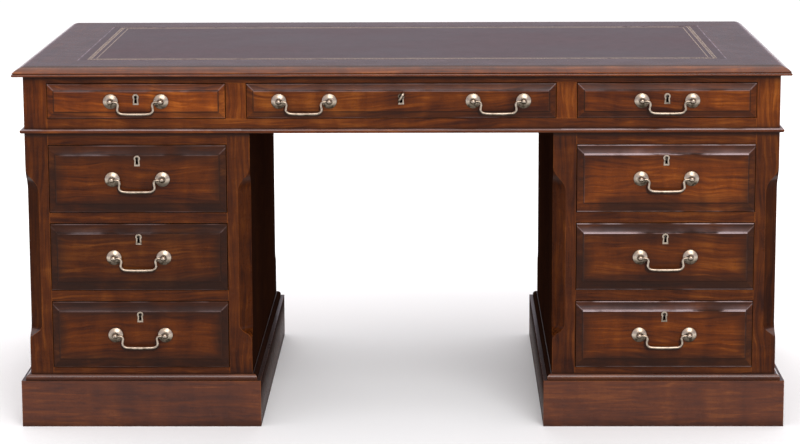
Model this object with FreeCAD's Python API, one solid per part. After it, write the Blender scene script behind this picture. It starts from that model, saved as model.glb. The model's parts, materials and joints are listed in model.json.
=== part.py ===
import FreeCAD, Part
import math
import os
from collections import namedtuple

from FreeCAD import Vector

# A partners desk. X runs along the desk, the sitter's front faces -Y, the second side faces +Y and Z is up.
# The origin is on the floor under the middle of the top. All sizes are in millimetres and degrees.

# Whole desk
DESK_WIDTH = 1600.0
DESK_DEPTH = 900.0
DESK_HEIGHT = 760.0
FRIEZE_HEIGHT = 120.0

# Writing top and its moulded edge: a thumbnail curve over a nose, a quirk and a bead
TOP_THICKNESS = 20.0
TOP_SIDE_OVERHANG = 20.0
TOP_FRONT_OVERHANG = 28.0
TOP_BORDER_WIDTH = 120.0
LEATHER_THICKNESS = 1.5
LEATHER_RECESS = 0.3
EDGE_BEAD_HEIGHT = 5.5
EDGE_QUIRK_HEIGHT = 1.0
EDGE_QUIRK_DEPTH = 3.4
EDGE_NOSE_SETBACK = 1.6
EDGE_NOSE_HEIGHT = 1.5
EDGE_CURVE_WIDTH = 29.0

# Frame members and boards
POST_SIZE = 48.0
RAIL_DEPTH = 22.0
PANEL_THICKNESS = 18.0
PANEL_TONGUE_LENGTH = 8.0
PANEL_TONGUE_THICKNESS = 6.0
BOARD_THICKNESS = 12.0
TOP_BOARD_THICKNESS = 18.0
DIVIDER_WIDTH = 42.0
SIDE_OPENING_WIDTH = 370.0
FRIEZE_BOTTOM_RAIL = 30.0
FRIEZE_TOP_RAIL = 16.0
PEDESTAL_TOP_RAIL = 24.0
PEDESTAL_DRAWER_RAIL = 22.0
PEDESTAL_BOTTOM_RAIL = 25.0
PEDESTAL_DRAWER_NAMES = ("bottom", "middle", "top")
RUNNER_HEIGHT = 20.0
RUNNER_REACH = 20.0
GUIDE_HEIGHT = 16.0
PARTITION_FROM_MIDDLE = 95.0
SHELF_SIDE_GAP = 1.0
SHELF_DOOR_GAP = 30.0
BEARER_SIZE = 15.0

# Dowels between pedestals and frieze
DOWEL_RADIUS = 5.0
DOWEL_LENGTH = 30.0
DOWEL_CLEARANCE = 0.05
DOWEL_END_GAP = 1.0

# Stopped chamfer on the pedestal posts, measured along the diagonal
CHAMFER_DEPTH = 18.4
CHAMFER_TOP_SQUARE = 68.0
CHAMFER_TOP_STOP = 57.0
CHAMFER_BOTTOM_SQUARE = 80.0
CHAMFER_BOTTOM_STOP = 38.0

# Plinths and mouldings
PLINTH_HEIGHT = 98.0
PLINTH_PROJECTION = 18.0
PLINTH_BEARING = 6.0
PLINTH_BLOCK_LEG = 60.0
PLINTH_BLOCK_LIFT = 10.0
OVOLO_RADIUS = 9.0
OVOLO_FOOT = 3.0
OVOLO_FILLET = 1.0
LIP_HEIGHT = 9.0
LIP_PROJECTION = 8.5

# Drawers
DRAWER_REVEAL = 1.5
DRAWER_EDGE_PROUD = 2.0
DRAWER_BACKING = 20.0
BEVEL_RISE = 4.5
FIELD_STEP = 1.5
BEVEL_AT_SIDES = 14.0
PEDESTAL_BEVEL_AT_ENDS = 19.0
FRIEZE_BEVEL_AT_ENDS = 14.0
DRAWER_SIDE_THICKNESS = 12.0
DRAWER_BOTTOM_THICKNESS = 6.0
DRAWER_GROOVE_DEPTH = 6.0
DRAWER_GROOVE_RISE = 10.0
DRAWER_GAP_BELOW = 0.3
DRAWER_GAP_ABOVE = 4.0
DRAWER_GAP_BEHIND = 6.0
DOVETAIL_PITCH = 34.0
DOVETAIL_SHARE = 0.6
DOVETAIL_FLARE = 2.5
DOVETAIL_LAP = 6.0

# Swan-neck handles
HANDLE_CENTRES = 104.0
CENTRE_HANDLE_FROM_DIVIDER = 120.0
ROSE_RADIUS = 15.25
ROSE_RIM = 1.2
ROSE_HEIGHT = 6.0
ROSE_CROWN_RADIUS = 4.6
NECK_RADIUS = 3.0
COLLAR_THICKNESS = 1.0
BALL_RADIUS = 5.6
BALL_OFFSET = 13.0
STEM_RADIUS = 2.0
STEM_CLEARANCE = 0.1
NUT_RADIUS = 5.0
NUT_THICKNESS = 3.0
STEM_BEYOND_NUT = 1.0
BAIL_RADIUS = 2.3
BAIL_GRIP_RADIUS = 3.3
BAIL_DROP = 25.0
BAIL_ELBOW_INSET = 16.5
BAIL_FOOT_INSET = 11.5
BAIL_GRIP_HALF = 24.0
BAIL_ELBOW_RADIUS = 3.5
BAIL_CORNER_RADIUS = 9.0
BAIL_PIN_PAST_CENTRE = 1.0
BAIL_PIN_CLEARANCE = 0.05
BAIL_PIN_END_GAP = 0.3

# Locks, escutcheons and the key
KEYHOLE_DROP = 28.0
ESCUTCHEON_RADIUS = 6.5
ESCUTCHEON_NECK_HALF = 4.8
ESCUTCHEON_FOOT_HALF = 6.0
ESCUTCHEON_TAIL = 16.0
ESCUTCHEON_PROUD = 0.6
ESCUTCHEON_SET_IN = 2.0
KEYHOLE_RADIUS = 3.4
KEYHOLE_NECK_HALF = 2.2
KEYHOLE_FOOT_HALF = 2.8
KEYHOLE_TAIL = 12.5
LOCK_WIDTH = 56.0
LOCK_BELOW_KEY = 15.5
LOCK_DEPTH = 9.0
LOCK_WALL = 1.5
BOLT_WIDTH = 24.0
BOLT_THICKNESS = 4.0
BOLT_SET_BACK = 1.0
BOLT_ABOVE_KEY = 6.5
BOLT_CLEARANCE = 0.3
STRIKE_DEPTH = 9.0
STRIKE_CLEARANCE = 1.0
KEY_SHANK_RADIUS = 2.3
KEY_BIT_REACH = 7.5
KEY_BIT_THICKNESS = 2.6
KEY_BIT_LENGTH = 3.6
KEY_END_GAP = 0.5
KEY_BOW_WIDTH = 24.0
KEY_BOW_LENGTH = 15.0
KEY_BOW_THICKNESS = 3.2
KEY_BOW_RING = 3.2
KEY_STAND_OFF = 2.0
KEY_REST_TURN = 30.0

# Cupboard doors, their hinges and knobs
DOOR_THICKNESS = 20.0
DOOR_FRAME_WIDTH = 55.0
DOOR_GROOVE_DEPTH = 8.0
DOOR_PANEL_TONGUE = 6.0
DOOR_PANEL_SET_BACK = 3.0
DOOR_PANEL_BEVEL = 32.0
DOOR_PANEL_MARGIN = 2.0
DOOR_LOCK_HEIGHT = 40.0
DOOR_KEY_FROM_EDGE = 28.0
DOOR_KEY_ABOVE_SHELF = 45.0
KNOB_BELOW_KEY = 45.0
KNOB_RADIUS = 12.0
KNOB_WIDEST_HEIGHT = 15.4
KNOB_LENGTH = 22.0
KNOB_FOOT_RADIUS = 10.0
KNOB_FOOT_THICKNESS = 1.65
KNOB_NECK_RADIUS = 5.0
KNOB_NECK_FOOT = 3.3
KNOB_NECK_HEIGHT = 8.8
KNOB_THROAT = 0.15
HINGE_LENGTH = 60.0
HINGE_FROM_END = 60.0
HINGE_LEAF_WIDTH = 14.0
HINGE_LEAF_THICKNESS = 1.2
HINGE_KNUCKLE_RADIUS = 3.6
HINGE_KNUCKLE_LIFT = 0.2
HINGE_KNUCKLE_COUNT = 5
HINGE_KNUCKLE_GAP = 0.3
HINGE_PIN_RADIUS = 1.8
HINGE_PIN_CLEARANCE = 0.05

# Sizes that follow from those above
CARCASS_X = DESK_WIDTH / 2 - TOP_SIDE_OVERHANG
CARCASS_Y = DESK_DEPTH / 2 - TOP_FRONT_OVERHANG
FRIEZE_TOP = DESK_HEIGHT - TOP_THICKNESS
PEDESTAL_TOP = FRIEZE_TOP - FRIEZE_HEIGHT
LEATHER_TOP = DESK_HEIGHT - LEATHER_RECESS
LEATHER_UNDERSIDE = LEATHER_TOP - LEATHER_THICKNESS
LEATHER_X = DESK_WIDTH / 2 - TOP_BORDER_WIDTH
LEATHER_Y = DESK_DEPTH / 2 - TOP_BORDER_WIDTH
RAIL_BACK_Y = CARCASS_Y - RAIL_DEPTH
RAIL_MIDDLE_Y = CARCASS_Y - RAIL_DEPTH / 2
POST_BACK_Y = CARCASS_Y - POST_SIZE
END_PANEL_INNER_X = CARCASS_X - PANEL_THICKNESS

SIDE_OPENING_HALF = SIDE_OPENING_WIDTH / 2
PEDESTAL_HALF = SIDE_OPENING_HALF + POST_SIZE
PEDESTAL_X = CARCASS_X - PEDESTAL_HALF
SIDE_PANEL_INNER = PEDESTAL_HALF - PANEL_THICKNESS
CENTRE_OPENING_HALF = PEDESTAL_X - SIDE_OPENING_HALF - DIVIDER_WIDTH
DIVIDER_X = CENTRE_OPENING_HALF + DIVIDER_WIDTH / 2
CENTRE_HANDLE_OFFSET = CENTRE_OPENING_HALF - CENTRE_HANDLE_FROM_DIVIDER

FRIEZE_OPENING_BOTTOM = PEDESTAL_TOP + FRIEZE_BOTTOM_RAIL
FRIEZE_OPENING_TOP = FRIEZE_TOP - FRIEZE_TOP_RAIL
FRIEZE_OPENING_HEIGHT = FRIEZE_OPENING_TOP - FRIEZE_OPENING_BOTTOM

PEDESTAL_OPENING_BOTTOM = PLINTH_HEIGHT + PEDESTAL_BOTTOM_RAIL
PEDESTAL_OPENING_TOP = PEDESTAL_TOP - PEDESTAL_TOP_RAIL
PEDESTAL_DRAWER_COUNT = len(PEDESTAL_DRAWER_NAMES)
PEDESTAL_DRAWER_PITCH = (
    PEDESTAL_OPENING_TOP - PEDESTAL_OPENING_BOTTOM + PEDESTAL_DRAWER_RAIL
) / PEDESTAL_DRAWER_COUNT
PEDESTAL_DRAWER_OPENING = PEDESTAL_DRAWER_PITCH - PEDESTAL_DRAWER_RAIL

FRIEZE_DRAWER_DEPTH = CARCASS_Y - BOARD_THICKNESS / 2 - DRAWER_GAP_BEHIND
PEDESTAL_DRAWER_DEPTH = CARCASS_Y + PARTITION_FROM_MIDDLE - DRAWER_GAP_BEHIND
CUPBOARD_Y = PARTITION_FROM_MIDDLE + BOARD_THICKNESS
SHELF_Z = (PEDESTAL_OPENING_BOTTOM + PEDESTAL_OPENING_TOP) / 2

BEVEL_PROUD = DRAWER_EDGE_PROUD + BEVEL_RISE
FIELD_PROUD = BEVEL_PROUD + FIELD_STEP
HANDLE_PIVOT_PROUD = FIELD_PROUD + BALL_OFFSET
LOCK_FRONT = DRAWER_BACKING - LOCK_DEPTH
LOCK_MIDDLE = DRAWER_BACKING - LOCK_DEPTH / 2

DOOR_HALF = SIDE_OPENING_HALF - DRAWER_REVEAL
DOOR_BOTTOM = PEDESTAL_OPENING_BOTTOM + DRAWER_REVEAL
DOOR_TOP = PEDESTAL_OPENING_TOP - DRAWER_REVEAL
DOOR_KEY_X = DOOR_HALF - DOOR_KEY_FROM_EDGE
DOOR_KEY_Z = SHELF_Z + DOOR_KEY_ABOVE_SHELF
HINGE_X = -(SIDE_OPENING_HALF - DRAWER_REVEAL / 2)
HINGE_PROUD = HINGE_KNUCKLE_RADIUS + HINGE_KNUCKLE_LIFT

ORIGIN = Vector(0, 0, 0)
ALONG = Vector(1, 0, 0)
BACK = Vector(0, 1, 0)
UP = Vector(0, 0, 1)
FRONT, REAR = -1, 1
SIDES = {"left": -1, "right": 1}

# A drawer's place: its opening's bottom edge in the plane of the frame round it, and which side it opens to.
# handles gives each handle's name and its place along X from the middle of the drawer.
DrawerPlace = namedtuple("DrawerPlace", "name x floor width height facing depth end_bevel handles")


# Tools for making shapes


def block(x0, x1, y0, y1, z0, z1):
    """A square-edged board between two corners."""
    return Part.makeBox(x1 - x0, y1 - y0, z1 - z0, Vector(x0, y0, z0))


def mirrored(shape, x=1, y=1):
    """The shape reflected across the middle of each axis that is given as -1."""
    result = shape.copy()
    if x < 0:
        result = result.mirror(ORIGIN, ALONG)
    if y < 0:
        result = result.mirror(ORIGIN, BACK)
    return result


def at_corners(shape):
    """A shape drawn in the front right quarter, repeated at all four corners."""
    return [mirrored(shape, x, y) for x in (1, -1) for y in (1, -1)]


def at_ends(shape):
    """A shape drawn at the front, repeated at the rear."""
    return [mirrored(shape, 1, y) for y in (1, -1)]


def at_sides(shape):
    """A shape drawn on the right, repeated on the left."""
    return [mirrored(shape, x, 1) for x in (1, -1)]


def moved(shapes, x=0.0, y=0.0, z=0.0):
    return [shape.translated(Vector(x, y, z)) for shape in shapes]


def turned_about(shape, centre, axis, angle):
    result = shape.copy()
    result.rotate(centre, axis, angle)
    return result


def without(shape, tools):
    """What is left of a piece when each tool has cut it."""
    for tool in tools:
        shape = shape.cut(tool)
    return shape


def on_yz(u, v):
    return Vector(0, u, v)


def on_xz(u, v):
    return Vector(u, 0, v)


def out_of_front(radius, height):
    """A point of a profile that is turned about Y, with its height counted towards -Y."""
    return Vector(radius, -height, 0)


def path_edges(points, place):
    """Edges through points. A point is (u, v) after a straight run or (middle u, middle v, u, v) after an arc."""
    edges = []
    for start, point in zip(points, points[1:]):
        a = place(*start[-2:])
        b = place(*point[-2:])
        if len(point) == 4:
            edges.append(Part.Arc(a, place(*point[:2]), b).toShape())
        else:
            edges.append(Part.LineSegment(a, b).toShape())
    return edges


def outline(points, place=on_yz):
    """A flat face whose edge runs through the points and back to the first."""
    closed = list(points)
    if closed[-1][-2:] != closed[0]:
        closed.append(closed[0])
    return Part.Face(Part.Wire(path_edges(closed, place)))


def turned(points):
    """A solid of revolution about Y from a profile of (radius, height towards -Y) points."""
    return outline(points, out_of_front).revolve(ORIGIN, BACK, 360)


def arc_point(start, end, bulge):
    """An arc to end, whose middle stands to the left of the chord by bulge times the chord."""
    du = end[0] - start[0]
    dv = end[1] - start[1]
    return ((start[0] + end[0]) / 2 - dv * bulge, (start[1] + end[1]) / 2 + du * bulge, *end)


def dome_point(start, end):
    """An arc from start to end round a centre on the axis of turning."""
    centre = (start[0] ** 2 + start[1] ** 2 - end[0] ** 2 - end[1] ** 2) / (2 * (start[1] - end[1]))
    radius = math.hypot(start[0], start[1] - centre)
    angle = (math.atan2(start[0], start[1] - centre) + math.atan2(end[0], end[1] - centre)) / 2
    return (radius * math.sin(angle), centre + radius * math.cos(angle), *end)


def rounded_path(points, radii, place):
    """A wire along straight runs joined by tangent arcs; radii are those of the inner points in order."""
    edges = []
    start = place(*points[0])
    for index, radius in enumerate(radii, 1):
        corner = place(*points[index])
        before = (place(*points[index - 1]) - corner).normalize()
        after = (place(*points[index + 1]) - corner).normalize()
        half_angle = before.getAngle(after) / 2
        reach = radius / math.tan(half_angle)
        arc_start = corner + before * reach
        arc_end = corner + after * reach
        middle_way = (before + after).normalize()
        arc_middle = corner + middle_way * (radius / math.sin(half_angle) - radius)
        edges.append(Part.LineSegment(start, arc_start).toShape())
        edges.append(Part.Arc(arc_start, arc_middle, arc_end).toShape())
        start = arc_end
    edges.append(Part.LineSegment(start, place(*points[-1])).toShape())
    return Part.Wire(edges)


def mitred_lengths(section, half_x, half_y, width):
    """Four lengths of a section, mitred at the corners of a rectangle that is half_x by half_y outside.

    The section lies on the YZ plane, with Y counted inwards from the outside of the rectangle.
    """
    lengths = []
    box = section.BoundBox
    for along, across, turn in ((half_x, half_y, 0), (half_y, half_x, 90)):
        bar = section.translated(Vector(-along, -across, 0)).extrude(ALONG * (2 * along))
        corners = [
            Vector(-along, -across, box.ZMin - 1),
            Vector(along, -across, box.ZMin - 1),
            Vector(along - width, width - across, box.ZMin - 1),
            Vector(width - along, width - across, box.ZMin - 1),
        ]
        mitre = Part.Face(Part.makePolygon(corners + corners[:1])).extrude(UP * (box.ZLength + 2))
        length = bar.common(mitre).Solids[0]
        lengths += [turned_about(length, ORIGIN, UP, turn), turned_about(length, ORIGIN, UP, turn + 180)]
    return lengths


# Writing top


def edge_section():
    """The moulded edge and the flat border behind it, as a section through the front of the top."""
    bead = EDGE_BEAD_HEIGHT / 2
    bead_top = FRIEZE_TOP + EDGE_BEAD_HEIGHT
    quirk_top = bead_top + EDGE_QUIRK_HEIGHT
    nose_top = quirk_top + EDGE_NOSE_HEIGHT
    rise = DESK_HEIGHT - nose_top
    flat_edge = EDGE_NOSE_SETBACK + EDGE_CURVE_WIDTH
    curve_radius = (EDGE_CURVE_WIDTH**2 + rise**2) / (2 * rise)
    half_turn = math.asin(EDGE_CURVE_WIDTH / curve_radius) / 2
    curve_u = flat_edge - curve_radius * math.sin(half_turn)
    curve_v = DESK_HEIGHT - curve_radius * (1 - math.cos(half_turn))
    return outline(
        [
            (bead, FRIEZE_TOP),
            (TOP_BORDER_WIDTH, FRIEZE_TOP),
            (TOP_BORDER_WIDTH, DESK_HEIGHT),
            (flat_edge, DESK_HEIGHT),
            (curve_u, curve_v, EDGE_NOSE_SETBACK, nose_top),
            (EDGE_NOSE_SETBACK, quirk_top),
            (EDGE_QUIRK_DEPTH, quirk_top),
            (EDGE_QUIRK_DEPTH, bead_top),
            (bead, bead_top),
            (0, FRIEZE_TOP + bead, bead, FRIEZE_TOP),
        ]
    )


def top_border():
    return mitred_lengths(edge_section(), DESK_WIDTH / 2, DESK_DEPTH / 2, TOP_BORDER_WIDTH)


def top_core_board():
    return [block(-LEATHER_X, LEATHER_X, -LEATHER_Y, LEATHER_Y, FRIEZE_TOP, LEATHER_UNDERSIDE)]


def writing_leather():
    return [block(-LEATHER_X, LEATHER_X, -LEATHER_Y, LEATHER_Y, LEATHER_UNDERSIDE, LEATHER_TOP)]


# Frieze


def dowel_places():
    """Where the dowels stand: over each pedestal post, on the middle line of the frieze rails."""
    reach = PEDESTAL_HALF - POST_SIZE / 2
    return [(PEDESTAL_X + across * reach, -RAIL_MIDDLE_Y) for across in (-1, 1)]


def dowels(radius, end_gap=0.0):
    """Dowels half in the pedestals and half in the frieze, or the holes for them."""
    length = DOWEL_LENGTH + 2 * end_gap
    pins = []
    for x, y in dowel_places():
        foot = Vector(x, y, PEDESTAL_TOP - length / 2)
        pins += at_corners(Part.makeCylinder(radius, length, foot))
    return pins


def dowel_holes():
    return dowels(DOWEL_RADIUS + DOWEL_CLEARANCE, DOWEL_END_GAP)


def end_panel():
    """A frieze end board with a tongue into the post at each end."""
    middle = CARCASS_X - PANEL_THICKNESS / 2
    half_tongue = PANEL_TONGUE_THICKNESS / 2
    reach = POST_BACK_Y + PANEL_TONGUE_LENGTH
    board = block(END_PANEL_INNER_X, CARCASS_X, -POST_BACK_Y, POST_BACK_Y, PEDESTAL_TOP, FRIEZE_TOP)
    tongue = block(middle - half_tongue, middle + half_tongue, -reach, reach, PEDESTAL_TOP, FRIEZE_TOP)
    return board.fuse(tongue).removeSplitter()


def frieze_corner():
    return block(
        CARCASS_X - POST_SIZE, CARCASS_X, -CARCASS_Y, -POST_BACK_Y, PEDESTAL_TOP, FRIEZE_TOP
    )


def frieze_posts():
    """Four corner posts, and the dividers between the drawers."""
    corner = without(frieze_corner(), [end_panel(), *dowel_holes()])
    divider = block(
        CENTRE_OPENING_HALF,
        CENTRE_OPENING_HALF + DIVIDER_WIDTH,
        -CARCASS_Y,
        -RAIL_BACK_Y,
        FRIEZE_OPENING_BOTTOM,
        FRIEZE_OPENING_TOP,
    )
    return at_corners(corner) + at_corners(divider)


def frieze_rails():
    """Top and bottom rails at the front and the rear, with a strike above each drawer's bolt."""
    half = CARCASS_X - POST_SIZE
    bottom = block(-half, half, -CARCASS_Y, -RAIL_BACK_Y, PEDESTAL_TOP, FRIEZE_OPENING_BOTTOM)
    top = block(-half, half, -CARCASS_Y, -RAIL_BACK_Y, FRIEZE_OPENING_TOP, FRIEZE_TOP)
    strikes = [strike(x, FRIEZE_OPENING_TOP) for x in (-PEDESTAL_X, 0, PEDESTAL_X)]
    return at_ends(without(bottom, dowel_holes())) + at_ends(without(top, strikes))


def frieze_end_panels():
    return at_sides(end_panel())


def frieze_partitions():
    """Two boards from front to rear under the dividers, and three along the middle between them."""
    inner = DIVIDER_X - PANEL_THICKNESS / 2
    outer = DIVIDER_X + PANEL_THICKNESS / 2
    half_board = BOARD_THICKNESS / 2
    partition = block(inner, outer, -RAIL_BACK_Y, RAIL_BACK_Y, PEDESTAL_TOP, FRIEZE_TOP)
    side = block(outer, END_PANEL_INNER_X, -half_board, half_board, PEDESTAL_TOP, FRIEZE_TOP)
    centre = block(-inner, inner, -half_board, half_board, PEDESTAL_TOP, FRIEZE_TOP)
    return at_sides(partition) + at_sides(side) + [centre]


def frieze_strips(wall_x, edge_x):
    """Runner, guide and kicker from a wall to the edge of the drawer opening beside it."""
    reach_x = edge_x + math.copysign(RUNNER_REACH, edge_x - wall_x)
    low, high = sorted((wall_x, reach_x))
    guide_low, guide_high = sorted((wall_x, edge_x))
    back = -BOARD_THICKNESS / 2
    bottom, top = FRIEZE_OPENING_BOTTOM, FRIEZE_OPENING_TOP
    strips = [
        block(low, high, -RAIL_BACK_Y, back, bottom - RUNNER_HEIGHT, bottom),
        block(guide_low, guide_high, -RAIL_BACK_Y, back, bottom, bottom + GUIDE_HEIGHT),
        block(low, high, -RAIL_BACK_Y, back, top, FRIEZE_TOP),
    ]
    return [strip.cut(frieze_corner()) for strip in strips]


def frieze_runners():
    """Runners, guides and kickers on both sides of each frieze drawer."""
    strips = frieze_strips(DIVIDER_X - PANEL_THICKNESS / 2, CENTRE_OPENING_HALF)
    strips += frieze_strips(DIVIDER_X + PANEL_THICKNESS / 2, PEDESTAL_X - SIDE_OPENING_HALF)
    strips += frieze_strips(END_PANEL_INNER_X, PEDESTAL_X + SIDE_OPENING_HALF)
    return [copy for strip in strips for copy in at_corners(strip)]


def frieze_lip_moulding():
    """Half-round moulding planted round the foot of the frieze."""
    flat = LIP_PROJECTION - LIP_HEIGHT / 2
    middle = PEDESTAL_TOP + LIP_HEIGHT / 2
    top = PEDESTAL_TOP + LIP_HEIGHT
    section = outline(
        [
            (LIP_PROJECTION - flat, PEDESTAL_TOP),
            (LIP_PROJECTION, PEDESTAL_TOP),
            (LIP_PROJECTION, top),
            (LIP_PROJECTION - flat, top),
            (0, middle, LIP_PROJECTION - flat, PEDESTAL_TOP),
        ]
    )
    return mitred_lengths(
        section, CARCASS_X + LIP_PROJECTION, CARCASS_Y + LIP_PROJECTION, LIP_PROJECTION
    )


# Pedestals. Each is drawn about X = 0 and then moved to its side.


def both_pedestals(shapes):
    return [copy for side in SIDES.values() for copy in moved(shapes, x=side * PEDESTAL_X)]


def pedestal_dowel_holes():
    """The dowel holes of the right pedestal, moved to where it is drawn."""
    return moved(dowel_holes(), x=-PEDESTAL_X)


def ogee(start, end):
    """Two arcs that leave start and reach end along the post, as a lamb's tongue."""
    depth = end[0] - start[0]
    height = end[1] - start[1]
    radius = (depth**2 + height**2) / (4 * abs(depth))
    quarter_turn = math.asin(abs(height) / 2 / radius) / 2
    run = math.copysign(radius * (1 - math.cos(quarter_turn)), depth)
    rise = math.copysign(radius * math.sin(quarter_turn), height)
    middle = (start[0] + depth / 2, start[1] + height / 2)
    return [
        (start[0] + run, start[1] + rise, *middle),
        (end[0] - run, end[1] - rise, *end),
    ]


def chamfer_tool():
    """What the stopped chamfer takes off the outer arris of the front right post."""
    top_end = PEDESTAL_TOP - CHAMFER_TOP_SQUARE
    bottom_end = PLINTH_HEIGHT + CHAMFER_BOTTOM_SQUARE
    outside = -CHAMFER_DEPTH
    profile = outline(
        [
            (outside, bottom_end),
            (0, bottom_end),
            *ogee((0, bottom_end), (CHAMFER_DEPTH, bottom_end + CHAMFER_BOTTOM_STOP)),
            (CHAMFER_DEPTH, top_end - CHAMFER_TOP_STOP),
            *ogee((CHAMFER_DEPTH, top_end - CHAMFER_TOP_STOP), (0, top_end)),
            (outside, top_end),
        ]
    )
    across = 4 * CHAMFER_DEPTH
    tool = profile.extrude(ALONG * across).translated(ALONG * (-across / 2))
    tool = turned_about(tool, ORIGIN, UP, 45)
    return tool.translated(Vector(PEDESTAL_HALF, -CARCASS_Y, 0))


def pedestal_corner():
    """The square space of the front right post."""
    return block(
        SIDE_OPENING_HALF, PEDESTAL_HALF, -CARCASS_Y, -POST_BACK_Y, PLINTH_HEIGHT, PEDESTAL_TOP
    )


def side_panel():
    """A pedestal side board with a tongue into the post at each end."""
    middle = PEDESTAL_HALF - PANEL_THICKNESS / 2
    half_tongue = PANEL_TONGUE_THICKNESS / 2
    reach = POST_BACK_Y + PANEL_TONGUE_LENGTH
    board = block(
        SIDE_PANEL_INNER, PEDESTAL_HALF, -POST_BACK_Y, POST_BACK_Y, PLINTH_HEIGHT, PEDESTAL_TOP
    )
    tongue = block(
        middle - half_tongue, middle + half_tongue, -reach, reach, PLINTH_HEIGHT, PEDESTAL_TOP
    )
    return board.fuse(tongue).removeSplitter()


def pedestal_posts():
    """Four chamfered posts for each pedestal; the outer rear ones are cut for the hinge leaves."""
    post = without(pedestal_corner(), [side_panel(), chamfer_tool(), *pedestal_dowel_holes()])
    posts = both_pedestals(at_corners(post))
    leaves = [box for side in SIDES.values() for box in leaf_recesses(side, -SIDE_OPENING_HALF, -1)]
    return [without(each, leaves) for each in posts]


def pedestal_side_panels():
    return both_pedestals(at_sides(side_panel()))


def strike(x, z):
    """The mortise in the rail over a drawer front, for its bolt."""
    half_width = BOLT_WIDTH / 2 + STRIKE_CLEARANCE
    half_depth = BOLT_THICKNESS / 2 + STRIKE_CLEARANCE
    y = LOCK_MIDDLE - CARCASS_Y
    return block(x - half_width, x + half_width, y - half_depth, y + half_depth, z, z + STRIKE_DEPTH)


def drawer_floors():
    """The height of each pedestal drawer opening's bottom edge, from the lowest."""
    return [
        PEDESTAL_OPENING_BOTTOM + step * PEDESTAL_DRAWER_PITCH for step in range(PEDESTAL_DRAWER_COUNT)
    ]


def front_rail(bottom, top):
    return block(-SIDE_OPENING_HALF, SIDE_OPENING_HALF, -CARCASS_Y, -RAIL_BACK_Y, bottom, top)


def pedestal_rails():
    """Top and bottom rails at the front and the rear, and the front rails between the drawers."""
    bottom = front_rail(PLINTH_HEIGHT, PEDESTAL_OPENING_BOTTOM)
    top = front_rail(PEDESTAL_OPENING_TOP, PEDESTAL_TOP)
    rails = at_ends(bottom) + [top.cut(strike(0, PEDESTAL_OPENING_TOP)), mirrored(top, 1, -1)]
    for floor in drawer_floors()[1:]:
        rail = front_rail(floor - PEDESTAL_DRAWER_RAIL, floor)
        rails.append(rail.cut(strike(0, floor - PEDESTAL_DRAWER_RAIL)))
    return both_pedestals(rails)


def pedestal_runners():
    """Runners level with the drawer rails, and guides beside every drawer."""
    strips = []
    for floor in drawer_floors():
        guide = block(
            SIDE_OPENING_HALF,
            SIDE_PANEL_INNER,
            -RAIL_BACK_Y,
            PARTITION_FROM_MIDDLE,
            floor,
            floor + GUIDE_HEIGHT,
        )
        strips += at_sides(guide.cut(pedestal_corner()))
    for floor in drawer_floors()[1:]:
        runner = block(
            SIDE_OPENING_HALF - RUNNER_REACH,
            SIDE_PANEL_INNER,
            -RAIL_BACK_Y,
            PARTITION_FROM_MIDDLE,
            floor - PEDESTAL_DRAWER_RAIL,
            floor,
        )
        strips += at_sides(runner.cut(pedestal_corner()))
    return both_pedestals(strips)


def inner_board(bottom, top):
    """A level board that fills a pedestal between its rails and side panels."""
    board = block(-SIDE_PANEL_INNER, SIDE_PANEL_INNER, -RAIL_BACK_Y, RAIL_BACK_Y, bottom, top)
    return without(board, at_corners(pedestal_corner()))


def pedestal_boards():
    """Top board, bottom board and the upright board between the drawers and the cupboard."""
    floor_board = inner_board(PEDESTAL_OPENING_BOTTOM - BOARD_THICKNESS, PEDESTAL_OPENING_BOTTOM)
    top_board = inner_board(PEDESTAL_TOP - TOP_BOARD_THICKNESS, PEDESTAL_TOP)
    partition = block(
        -SIDE_PANEL_INNER,
        SIDE_PANEL_INNER,
        PARTITION_FROM_MIDDLE,
        CUPBOARD_Y,
        PEDESTAL_OPENING_BOTTOM,
        PEDESTAL_TOP - TOP_BOARD_THICKNESS,
    )
    return both_pedestals([floor_board, top_board, partition])


def cupboard_shelves():
    """A loose shelf on two bearers in each cupboard."""
    half = SIDE_PANEL_INNER - SHELF_SIDE_GAP
    back = POST_BACK_Y - SHELF_DOOR_GAP
    underside = SHELF_Z - BOARD_THICKNESS / 2
    shelf = block(-half, half, CUPBOARD_Y, back, underside, underside + BOARD_THICKNESS)
    bearer = block(
        SIDE_PANEL_INNER - BEARER_SIZE, SIDE_PANEL_INNER, CUPBOARD_Y, back, underside - BEARER_SIZE, underside
    )
    return both_pedestals([shelf] + at_sides(bearer))


def pedestal_plinths():
    """Four mitred boards round each pedestal's foot, with a glued block in each corner."""
    half_x = PEDESTAL_HALF + PLINTH_PROJECTION
    half_y = CARCASS_Y + PLINTH_PROJECTION
    width = PLINTH_PROJECTION + PLINTH_BEARING
    section = outline([(0, 0), (width, 0), (width, PLINTH_HEIGHT), (0, PLINTH_HEIGHT)])
    boards = mitred_lengths(section, half_x, half_y, width)
    inner = Vector(half_x - width, width - half_y, PLINTH_BLOCK_LIFT)
    corners = [inner, inner - ALONG * PLINTH_BLOCK_LEG, inner + BACK * PLINTH_BLOCK_LEG, inner]
    triangle = Part.Face(Part.makePolygon(corners))
    corner_block = triangle.extrude(UP * (PLINTH_HEIGHT - PLINTH_BLOCK_LIFT))
    return both_pedestals(boards + at_corners(corner_block))


def plinth_mouldings():
    """Ovolo moulding that covers the joint between plinth and pedestal."""
    width = OVOLO_RADIUS + OVOLO_FILLET
    shoulder = PLINTH_HEIGHT + OVOLO_FOOT
    crown = shoulder + OVOLO_RADIUS
    diagonal = OVOLO_RADIUS * math.sqrt(0.5)
    section = outline(
        [
            (0, PLINTH_HEIGHT),
            (width, PLINTH_HEIGHT),
            (width, crown),
            (OVOLO_RADIUS, crown),
            (OVOLO_RADIUS - diagonal, shoulder + diagonal, 0, shoulder),
        ]
    )
    return both_pedestals(
        mitred_lengths(section, PEDESTAL_HALF + width, CARCASS_Y + width, width)
    )


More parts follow.
